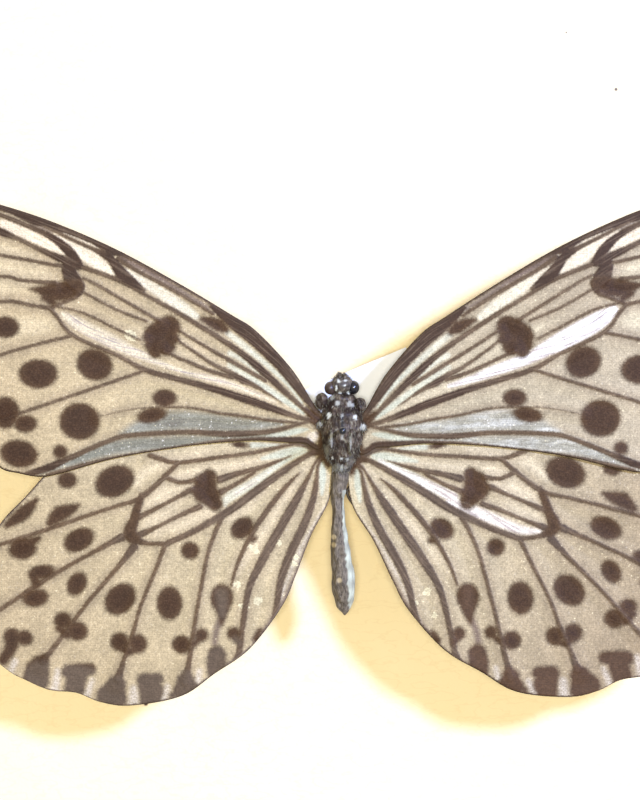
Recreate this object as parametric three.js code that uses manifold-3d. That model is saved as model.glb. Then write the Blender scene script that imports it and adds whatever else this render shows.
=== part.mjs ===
// A large spread butterfly, dried and pinned through the thorax into a slab of pale foam, with its
// blank paper data label on the pin below it. Millimetres, +Z up, +Y towards the butterfly's head.
// The origin is the middle of the board's underside.

import * as THREE from 'three';
import { mergeVertices } from 'three/addons/utils/BufferGeometryUtils.js';
import Module from 'manifold-3d';

const wasm = await Module();
wasm.setup();

// Pinning board
const BOARD_LENGTH = 160;
const BOARD_DEPTH = 140;
const BOARD_THICKNESS = 10;
const BOARD_CORNER = 3;
const BOARD_EDGE = 0.5;

// Insect pin: it stands a little in front of the middle of the board
const PIN_Y = -5;
const PIN_DIAMETER = 0.55;
const PIN_LENGTH = 38;
const PIN_HEAD_DIAMETER = 1.15;
const PIN_POINT_LENGTH = 3;
const PIN_DEPTH = 8;
const PIN_FOOT = BOARD_THICKNESS - PIN_DEPTH;

// Air between a piece and the one it is set against, and how far a cut runs past the piece it cuts
const GAP = 0.3;
const CUT = 1;
const PIN_HOLE_DIAMETER = PIN_DIAMETER + 2 * GAP;

// Data label, level, turned on the pin
const LABEL_LENGTH = 28;
const LABEL_WIDTH = 15.5;
const LABEL_THICKNESS = 0.35;
const LABEL_CORNER = 0.3;
const LABEL_HEIGHT = 18.5;
const LABEL_TURN = 23;

// Heights of the middle of the body and of the wings' roots above the table
const BODY_HEIGHT = 27.6;
const HINDWING_HEIGHT = 26.9;
const FOREWING_HEIGHT = 28.0;

// Wings: thin flat plates, tips a little above the roots, with veins as ridges on the upper face
const WING_THICKNESS = 0.4;
const WING_LIFT = 1.2;
const VEIN_HEIGHT = 0.3;
const VEIN_WIDTH = 0.7;
const VEIN_STEP = 6;

// Wing outlines and veins are [out from the pin, forward of the pin], for a wing of either side.
// The leading and the trailing edge of a wing run from its root and end together at its far side.
const FOREWING_LEADING = [
  [2.2, 1.6], [4.2, 3.9], [7.5, 9.1], [12.8, 14.8], [16.6, 17.3], [24.5, 22.0], [33.9, 27.1],
  [43.4, 31.2], [51.3, 33.8], [57.5, 35.4], [61.5, 35.6], [63.8, 34.2],
];
const FOREWING_TRAILING = [
  [2.2, -0.2], [6.2, -1.5], [13.0, -1.6], [18.3, -1.9], [24.5, -2.6], [33.8, -4.2], [41.8, -6.4],
  [45.2, -7.0], [48.3, -6.5], [51.3, -5.6], [54.4, -2.0], [57.8, 4.5], [60.8, 12.5], [63.0, 21.0],
  [64.6, 28.0], [64.8, 31.6],
];
const HINDWING_LEADING = [
  [2.2, -1.4], [7.1, 1.4], [13.4, 2.6], [19.7, 3.2], [26.0, 2.9], [33.1, 0.4], [38.7, -2.6],
  [43.4, -5.6], [47.3, -9.8], [51.3, -14.1], [53.8, -19.5], [54.5, -25.5], [53.4, -31.5],
  [51.3, -35.2],
];
const HINDWING_TRAILING = [
  [1.4, -5.0], [1.9, -10.4], [4.6, -15.8], [7.0, -22.0], [9.0, -26.5], [13.8, -32.8],
  [19.1, -36.6], [24.2, -40.0], [31.7, -41.4], [36.2, -40.9], [39.9, -39.5], [44.1, -39.0],
  [48.2, -37.2], [49.4, -36.6],
];
const FOREWING_VEINS = {
  costa: [
    [5.0, 3.9], [8.0, 8.9], [13.2, 14.3], [24.7, 21.5], [34.1, 26.6], [43.6, 30.7], [51.5, 33.2],
    [60.8, 35.0],
  ],
  subcosta: [[8.7, 8.1], [16.9, 15.7], [26.0, 20.8], [35.5, 26.6], [43.4, 30.2], [52.0, 33.1]],
  radius: [[5.0, 2.0], [10.3, 6.9], [19.7, 14.3], [29.2, 20.3], [35.5, 23.6], [46.6, 27.4], [61.0, 33.0]],
  first_radial: [[30.0, 20.8], [33.3, 24.9], [36.4, 28.0]],
  second_radial: [[39.3, 24.9], [43.4, 29.4], [51.3, 32.4], [58.0, 34.6]],
  cell_end: [[40.4, 24.9], [39.2, 21.3], [43.7, 18.6]],
  first_medial: [[40.4, 24.8], [47.2, 25.3], [62.8, 28.4]],
  second_medial: [[39.6, 22.3], [51.3, 23.0], [62.6, 22.4]],
  third_medial: [[43.7, 18.4], [51.3, 19.3], [61.3, 16.8]],
  cubitus: [[6.2, 1.6], [10.3, 3.1], [19.7, 6.7], [29.5, 8.9], [37.1, 12.6], [43.7, 18.4]],
  first_cubital: [[40.0, 14.0], [45.0, 13.0], [58.8, 8.6]],
  second_cubital: [[29.2, 8.8], [37.1, 6.4], [48.5, 2.5], [55.0, 0.4]],
  anal: [[6.2, 0.1], [10.3, -0.3], [23.8, -0.2], [34.9, -1.0], [42.5, -4.8], [48.0, -6.2]],
};
const HINDWING_VEINS = {
  subcosta: [[4.2, -1.8], [11.8, -3.2], [24.5, -4.9], [28.9, -3.6], [37.5, -3.4]],
  radial_sector: [[24.1, -4.8], [31.1, -10.9], [40.3, -13.3], [52.6, -17.6]],
  cell_end: [[30.5, -10.2], [31.7, -14.8], [26.7, -17.3]],
  first_medial: [[31.3, -14.8], [40.3, -20.5], [53.8, -28.2]],
  second_medial: [[31.0, -16.6], [37.7, -25.3], [46.6, -36.8]],
  third_medial: [[26.7, -17.3], [31.1, -29.0], [34.6, -39.8]],
  cubitus: [[3.6, -2.6], [8.7, -6.0], [17.8, -12.9], [26.7, -17.3]],
  first_cubital: [[18.2, -13.0], [20.5, -20.5], [23.9, -38.8]],
  second_cubital: [[3.6, -3.2], [8.0, -8.0], [13.7, -15.2], [16.7, -23.4]],
  first_anal: [[3.2, -3.8], [7.1, -10.4], [13.1, -21.5], [15.6, -33.4]],
  second_anal: [[2.8, -4.6], [4.6, -10.4], [9.0, -21.5], [11.0, -28.4]],
};

// How each wing sits: turned forward about its root, in degrees, then moved [out, forward]
const WING_ROOT = [3, -1];
const WING_SIT = {
  left: { side: -1, fore: { turn: 0, move: [0, 0] }, hind: { turn: 0, move: [0, 0] } },
  right: { side: 1, fore: { turn: 2, move: [-0.5, -0.8] }, hind: { turn: 4.5, move: [-1.0, -1.1] } },
};

// Bodies of revolution about the long axis: [radius, distance forward of the pin]
const THORAX_PROFILE = [
  [0, -6.1], [1.3, -5.9], [2.0, -5.0], [2.6, -3.4], [3.0, -1.4], [3.2, 0.6], [3.1, 2.2], [2.5, 3.6],
  [1.7, 4.5], [0, 4.9],
];
const THORAX_FLATTENING = 0.95;
const ABDOMEN_PROFILE = [
  [0, -6.4], [0.75, -6.7], [0.9, -8.2], [0.86, -10.6], [1.05, -14.4], [1.4, -17.8], [1.6, -21.0],
  [1.75, -23.4], [1.5, -25.2], [0.95, -26.9], [0, -28.0],
];
const ABDOMEN_DEPTH = 1.15;
const ABDOMEN_PATH = [
  [-0.2, -6.4, 26.9], [-0.6, -10.6, 26.7], [-0.4, -16.0, 26.2], [0.2, -22.5, 25.5], [0.45, -28.0, 25.0],
];

// Rounded lumps: centre and half sizes
const THORAX_LUMPS = [
  { centre: [0.1, 4.6, 27.7], half: [2.1, 1.1, 1.6] },
  { centre: [-3.0, 4.3, 28.5], half: [0.95, 1.25, 1.0] },
  { centre: [2.9, 3.9, 28.5], half: [0.95, 1.25, 1.0] },
];
const HEAD_LUMPS = [
  { centre: [0, 6.8, 27.6], half: [1.75, 1.4, 1.45] },
  { centre: [-1.75, 6.3, 27.6], half: [0.95, 1.05, 1.15] },
  { centre: [1.7, 6.4, 27.6], half: [0.9, 1.05, 1.15] },
  { centre: [-0.4, 7.9, 27.9], half: [0.4, 0.65, 0.9] },
  { centre: [0.45, 7.8, 27.9], half: [0.4, 0.65, 0.9] },
];

// Coiled tongue under the head: a flat spiral that starts at the mouth
const TONGUE_RADIUS = 0.16;
const TONGUE_OUTER = 0.95;
const TONGUE_INNER = 0.4;
const TONGUE_TURNS = 1.75;
const TONGUE_CENTRE = [0, 7.3, 24.75];

// Legs, knee to knee from the body: points of the right side, then the radius at each of them
const LEGS = {
  leg_middle: {
    points: [
      [1.2, 0.4, 25.6], [2.2, 0.2, 23.6], [5.0, -1.4, 22.8], [5.4, -5.6, 22.4], [6.8, -8.4, 22.1],
    ],
    radii: [0.5, 0.42, 0.32, 0.24, 0.18],
  },
  leg_hind_right: {
    points: [
      [1.1, -2.6, 25.4], [1.6, -3.4, 23.6], [3.9, -5.8, 22.9], [0.9, -9.2, 23.2], [2.1, -11.9, 23.6],
    ],
    radii: [0.5, 0.42, 0.32, 0.24, 0.2],
  },
  leg_hind_left: {
    points: [
      [1.1, -2.6, 25.4], [1.6, -3.4, 23.6], [4.2, -5.6, 22.9], [4.4, -9.2, 22.6], [5.6, -11.6, 22.4],
    ],
    radii: [0.5, 0.42, 0.32, 0.24, 0.2],
  },
  foreleg: {
    points: [[0.8, 3.0, 25.5], [1.1, 4.4, 24.5], [0.6, 3.0, 23.9]],
    radii: [0.34, 0.3, 0.22],
  },
};

// A knee is this much wider than the leg at it
const KNEE_SWELL = 1.3;

// How finely round forms are cut into flats
const ROUND_SIDES = 12;
const BODY_SIDES = 14;
const LUMP_RINGS = 7;
const LIMB_SIDES = 5;
const PIN_HEAD_ARCS = 6;
const CORNER_ARCS = 4;
const TONGUE_TURN_POINTS = 16;
const TONGUE_STEPS = 30;
const WING_EDGE_STEPS = 2;
const WELD_DISTANCE = 1e-4;

// Closed geometry to a solid with its faces outward
function toSolid(geometry) {
  const bare = geometry.clone();
  bare.deleteAttribute('normal');
  bare.deleteAttribute('uv');
  const merged = mergeVertices(bare, WELD_DISTANCE);
  const corners = new Uint32Array(merged.index.array);
  const build = () => new wasm.Manifold(new wasm.Mesh({
    numProp: 3,
    vertProperties: new Float32Array(merged.attributes.position.array),
    triVerts: corners,
  }));
  const solid = build();
  if (solid.volume() > 0) return solid;
  for (let i = 0; i < corners.length; i += 3) {
    [corners[i + 1], corners[i + 2]] = [corners[i + 2], corners[i + 1]];
  }
  return build();
}

function toGeometry(solid) {
  const mesh = solid.getMesh();
  const geometry = new THREE.BufferGeometry();
  geometry.setAttribute('position', new THREE.BufferAttribute(mesh.vertProperties, 3));
  geometry.setIndex(new THREE.BufferAttribute(mesh.triVerts, 1));
  geometry.computeVertexNormals();
  return geometry;
}

function joined(geometries) {
  return geometries.map(toSolid).reduce((whole, solid) => whole.add(solid));
}

function finish(color, roughness, metalness = 0) {
  return new THREE.MeshStandardMaterial({ color, roughness, metalness });
}

function piece(name, geometry, material) {
  const mesh = new THREE.Mesh(geometry, material);
  mesh.name = name;
  return mesh;
}

function cylinder(diameter, bottom, top) {
  return new THREE.CylinderGeometry(diameter / 2, diameter / 2, top - bottom, ROUND_SIDES)
    .rotateX(Math.PI / 2)
    .translate(0, 0, (bottom + top) / 2);
}

function lump({ centre, half }, grow = 0) {
  return new THREE.SphereGeometry(1, ROUND_SIDES, LUMP_RINGS)
    .scale(half[0] + grow, half[1] + grow, half[2] + grow)
    .translate(...centre);
}

function slab(length, width, corner) {
  const outline = new THREE.Shape();
  const x = length / 2;
  const y = width / 2;
  outline.moveTo(-x + corner, -y);
  outline.lineTo(x - corner, -y);
  outline.absarc(x - corner, -y + corner, corner, -Math.PI / 2, 0);
  outline.lineTo(x, y - corner);
  outline.absarc(x - corner, y - corner, corner, 0, Math.PI / 2);
  outline.lineTo(-x + corner, y);
  outline.absarc(-x + corner, y - corner, corner, Math.PI / 2, Math.PI);
  outline.lineTo(-x, -y + corner);
  outline.absarc(-x + corner, -y + corner, corner, Math.PI, 1.5 * Math.PI);
  return outline;
}

function pinningBoard() {
  const outline = slab(BOARD_LENGTH - 2 * BOARD_EDGE, BOARD_DEPTH - 2 * BOARD_EDGE, BOARD_CORNER);
  const block = new THREE.ExtrudeGeometry(outline, {
    depth: BOARD_THICKNESS - 2 * BOARD_EDGE,
    bevelThickness: BOARD_EDGE,
    bevelSize: BOARD_EDGE,
    bevelSegments: 1,
    curveSegments: CORNER_ARCS,
  }).translate(0, -PIN_Y, BOARD_EDGE);
  const hole = cylinder(PIN_HOLE_DIAMETER, PIN_FOOT - GAP, BOARD_THICKNESS + CUT);
  return toSolid(block).subtract(toSolid(hole));
}

function dataLabel() {
  const card = new THREE.ExtrudeGeometry(slab(LABEL_LENGTH, LABEL_WIDTH, LABEL_CORNER), {
    depth: LABEL_THICKNESS,
    bevelEnabled: false,
    curveSegments: CORNER_ARCS,
  })
    .rotateZ(THREE.MathUtils.degToRad(LABEL_TURN))
    .translate(0, 0, LABEL_HEIGHT);
  const hole = cylinder(PIN_HOLE_DIAMETER, LABEL_HEIGHT - CUT, LABEL_HEIGHT + CUT);
  return toSolid(card).subtract(toSolid(hole));
}

// Shaft with a long point below and a round head above
function insectPin() {
  const shaft = PIN_DIAMETER / 2;
  const head = PIN_HEAD_DIAMETER / 2;
  const headMiddle = PIN_LENGTH - head;
  const profile = [new THREE.Vector2(0, 0), new THREE.Vector2(shaft, PIN_POINT_LENGTH)];
  const start = Math.asin(shaft / head);
  for (let i = 0; i < PIN_HEAD_ARCS; i++) {
    const angle = start + (i / PIN_HEAD_ARCS) * (Math.PI - start);
    profile.push(new THREE.Vector2(head * Math.sin(angle), headMiddle - head * Math.cos(angle)));
  }
  profile.push(new THREE.Vector2(0, PIN_LENGTH));
  return new THREE.LatheGeometry(profile, ROUND_SIDES)
    .rotateX(Math.PI / 2)
    .translate(0, 0, PIN_FOOT);
}

// A profile turned about the body's long axis, made larger all round by grow
function revolved(profile, grow) {
  const middle = (profile[0][1] + profile.at(-1)[1]) / 2;
  const points = profile.map(([radius, along]) => new THREE.Vector2(
    radius > 0 ? radius + grow : 0,
    along + Math.sign(along - middle) * grow,
  ));
  return new THREE.LatheGeometry(points, BODY_SIDES);
}

function thoraxForm(grow) {
  const trunk = revolved(THORAX_PROFILE, grow)
    .scale(1, 1, THORAX_FLATTENING)
    .translate(0, 0, BODY_HEIGHT);
  return joined([trunk, ...THORAX_LUMPS.map((item) => lump(item, grow))]);
}

function headForm(grow) {
  return joined(HEAD_LUMPS.map((item) => lump(item, grow)));
}

// The revolved abdomen, laid along its drooping, slightly bent path
function abdomenForm(grow) {
  const form = revolved(ABDOMEN_PROFILE, grow).scale(1, 1, ABDOMEN_DEPTH);
  const path = new THREE.CatmullRomCurve3(ABDOMEN_PATH.map((p) => new THREE.Vector3(...p)));
  const [first, last] = [ABDOMEN_PATH[0][1], ABDOMEN_PATH.at(-1)[1]];
  const place = form.getAttribute('position');
  for (let i = 0; i < place.count; i++) {
    const share = THREE.MathUtils.clamp((place.getY(i) - first) / (last - first), 0, 1);
    const middle = path.getPointAt(share);
    place.setX(i, place.getX(i) + middle.x);
    place.setZ(i, place.getZ(i) + middle.z);
  }
  return toSolid(form);
}

function tongue() {
  const points = [];
  for (let i = 0; i <= TONGUE_TURN_POINTS; i++) {
    const share = i / TONGUE_TURN_POINTS;
    const angle = Math.PI / 2 - share * TONGUE_TURNS * 2 * Math.PI;
    const radius = THREE.MathUtils.lerp(TONGUE_OUTER, TONGUE_INNER, share);
    points.push(new THREE.Vector3(
      TONGUE_CENTRE[0],
      TONGUE_CENTRE[1] + radius * Math.cos(angle),
      TONGUE_CENTRE[2] + radius * Math.sin(angle),
    ));
  }
  const round = [];
  for (let i = 0; i < LIMB_SIDES; i++) {
    const angle = (i / LIMB_SIDES) * 2 * Math.PI;
    round.push(new THREE.Vector2(Math.cos(angle), Math.sin(angle)).multiplyScalar(TONGUE_RADIUS));
  }
  return bar(round, points, TONGUE_STEPS);
}

// A bar of the given section along a smooth curve through the points
function bar(section, points, steps) {
  return new THREE.ExtrudeGeometry(new THREE.Shape(section), {
    steps,
    extrudePath: new THREE.CatmullRomCurve3(points),
  });
}

// A limb of straight tapered lengths with a round knee between each two
function limb({ points, radii }, side) {
  const knees = points.map(([x, y, z]) => new THREE.Vector3(side * x, y, z));
  const parts = [];
  for (let i = 1; i < knees.length; i++) {
    const direction = knees[i].clone().sub(knees[i - 1]);
    const turn = new THREE.Quaternion().setFromUnitVectors(
      new THREE.Vector3(0, 1, 0),
      direction.clone().normalize(),
    );
    parts.push(new THREE.CylinderGeometry(radii[i], radii[i - 1], direction.length(), LIMB_SIDES)
      .applyQuaternion(turn)
      .translate(...knees[i].clone().add(knees[i - 1]).multiplyScalar(0.5)));
    parts.push(new THREE.OctahedronGeometry(radii[i] * KNEE_SWELL).translate(...knees[i]));
  }
  return joined(parts);
}

// The plate: both edges as smooth curves, closed by a short straight line at the root
function wingPlate(leading, trailing) {
  const corners = (edge) => edge.map(([out, forward]) => new THREE.Vector2(out, forward));
  const outline = new THREE.Shape();
  outline.moveTo(...leading[0]);
  outline.splineThru(corners(leading.slice(1)));
  outline.splineThru(corners(trailing).reverse());
  return new THREE.ExtrudeGeometry(outline, {
    depth: WING_THICKNESS,
    bevelEnabled: false,
    curveSegments: WING_EDGE_STEPS,
  }).translate(0, 0, -WING_THICKNESS / 2);
}

// A three-sided ridge on the plate's upper face. A section's x runs down and its y across, because
// the path is level.
function vein(path) {
  const points = path.map(([out, forward]) => new THREE.Vector3(out, forward, WING_THICKNESS / 2));
  const length = new THREE.CatmullRomCurve3(points).getLength();
  const rooted = WING_THICKNESS / 4;
  const ridge = [
    new THREE.Vector2(-VEIN_HEIGHT, 0),
    new THREE.Vector2(rooted, -VEIN_WIDTH / 2),
    new THREE.Vector2(rooted, VEIN_WIDTH / 2),
  ];
  return bar(ridge, points, Math.max(2, Math.round(length / VEIN_STEP)));
}

function wing(leading, trailing, veins) {
  return joined([wingPlate(leading, trailing), ...Object.values(veins).map(vein)]);
}

// Sets a wing at its height on its side of the body, and trims its root round the thorax
function setWing(form, height, sit, side) {
  const placed = toGeometry(form)
    .translate(-WING_ROOT[0], -WING_ROOT[1], 0)
    .rotateY(-THREE.MathUtils.degToRad(WING_LIFT))
    .rotateZ(THREE.MathUtils.degToRad(sit.turn))
    .translate(WING_ROOT[0] + sit.move[0], WING_ROOT[1] + sit.move[1], height)
    .scale(side, 1, 1);
  return toSolid(placed).subtract(thoraxForm(GAP));
}

function butterfly() {
  const scales = finish('#cfc2ae', 0.55);
  const hair = finish('#3b342f', 0.8);
  const horn = finish('#2b2623', 0.5);
  const head = headForm(0);
  const abdomen = abdomenForm(0);
  const pinHole = toSolid(cylinder(PIN_HOLE_DIAMETER, LABEL_HEIGHT, PIN_FOOT + PIN_LENGTH));
  const thorax = thoraxForm(0).subtract(headForm(GAP)).subtract(abdomenForm(GAP)).subtract(pinHole);
  const forewing = wing(FOREWING_LEADING, FOREWING_TRAILING, FOREWING_VEINS);
  const hindwing = wing(HINDWING_LEADING, HINDWING_TRAILING, HINDWING_VEINS);
  const group = new THREE.Group();
  group.add(
    piece('head', toGeometry(head), hair),
    piece('proboscis', tongue(), horn),
    piece('thorax', toGeometry(thorax), hair),
    piece('abdomen', toGeometry(abdomen), hair),
  );
  for (const [name, { side, fore, hind }] of Object.entries(WING_SIT)) {
    const hindLeg = LEGS[`leg_hind_${name}`];
    const onThorax = (form) => toGeometry(form.subtract(thoraxForm(GAP)));
    group.add(
      piece(`forewing_${name}`, toGeometry(setWing(forewing, FOREWING_HEIGHT, fore, side)), scales),
      piece(`hindwing_${name}`, toGeometry(setWing(hindwing, HINDWING_HEIGHT, hind, side)), scales),
      piece(`foreleg_${name}`, onThorax(limb(LEGS.foreleg, side)), horn),
      piece(`leg_middle_${name}`, onThorax(limb(LEGS.leg_middle, side)), horn),
      piece(`leg_hind_${name}`, onThorax(limb(hindLeg, side)), horn),
    );
  }
  return group;
}

const specimen = new THREE.Group();
specimen.add(
  piece('pinning_board', toGeometry(pinningBoard()), finish('#f3ead2', 0.9)),
  piece('data_label', toGeometry(dataLabel()), finish('#f6f5f0', 0.85)),
  piece('pin', insectPin(), finish('#23283c', 0.3, 1)),
  butterfly(),
);
specimen.position.set(0, PIN_Y, 0);

const root = new THREE.Group();
root.add(specimen);

export default root;
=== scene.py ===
"""A large pale, dark-spotted butterfly, dried and spread, on an insect pin with a blank paper label,
standing in a slab of pale foam. Sizes are in millimetres, and are turned to metres where a mesh is made."""

import math

import bpy
import numpy as np
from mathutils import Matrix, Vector
from bpy.props import FloatProperty, FloatVectorProperty, IntProperty, PointerProperty


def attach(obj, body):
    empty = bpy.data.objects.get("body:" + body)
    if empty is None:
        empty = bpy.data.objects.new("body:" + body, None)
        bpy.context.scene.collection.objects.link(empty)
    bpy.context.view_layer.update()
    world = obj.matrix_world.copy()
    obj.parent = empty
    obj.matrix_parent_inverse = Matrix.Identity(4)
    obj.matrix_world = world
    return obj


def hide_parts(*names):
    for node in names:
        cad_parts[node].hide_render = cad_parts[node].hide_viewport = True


bl_info = {
    "name": "Pinned butterfly specimen",
    "version": (1, 0, 0),
    "blender": (4, 5, 0),
    "location": "View3D > Sidebar > Specimen",
    "description": "Builds a spread, pinned butterfly with its label, pin and foam board",
    "category": "Add Mesh",
}

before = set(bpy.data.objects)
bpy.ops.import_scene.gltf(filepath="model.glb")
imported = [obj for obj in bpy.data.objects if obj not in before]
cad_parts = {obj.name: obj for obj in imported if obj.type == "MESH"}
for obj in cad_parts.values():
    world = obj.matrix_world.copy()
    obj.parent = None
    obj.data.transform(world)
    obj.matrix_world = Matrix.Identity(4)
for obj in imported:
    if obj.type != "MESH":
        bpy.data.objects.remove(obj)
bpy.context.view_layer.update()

MM = 0.001
# Each random draw starts from this number and one of its own
SEED = 7
WING_DRAW = 11
HEAD_HAIR_DRAW = 10
SPINE_DRAW = 20
LABEL_DRAW = 30
SPOT_DRAW = 40
STRIPE_DRAW = 6

# The pin's place, which everything on it is measured from
PIN_Y = -5.0
PIN_FOOT = 2.0
PIN_LENGTH = 38.0
PIN_POINT_LENGTH = 3.0
# Radii of the point's first rings, as a share of the shaft's
PIN_POINT = (0.55, 0.9, 1.0)
PIN_TIP_RADIUS = 0.01
PIN_TIP_HEIGHT = 0.02
# How far below the head's ball the last ring of the shaft lies
PIN_NECK = 0.1
PIN_RINGS = 30
PIN_HEAD_RINGS = 24
PIN_AROUND = 40

LABEL_THICKNESS = 0.28
LABEL_HEIGHT = 18.5
LABEL_GRID = (90, 50)
# How far the label's long sides curl up, and the height and length of its slow waves
LABEL_CURL = 0.12
LABEL_WAVE = 0.1
LABEL_WAVE_LENGTH = 30.0

BOARD_HEIGHT = 10.0
# Specks of dirt on the foam: where each one fades, in shares of its radius, and [x, y, radius, colour]
SPECK_EDGE = (1.3, 0.6)
SPECKS = [[-30.6, -48.1, 0.35, "#4A3423"], [43.1, 48.2, 0.26, "#6B6058"], [35.3, 57.1, 0.14, "#7B7068"]]

BODY_HEIGHT = 27.6
FOREWING_HEIGHT = 28.0
HINDWING_HEIGHT = 27.1
WING_LIFT = 1.2
# How far each wing's rear edge sinks, so that the forewing rests close on the hindwing
WING_DROOP = {"fore": 0.28, "hind": 0.0}

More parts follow.
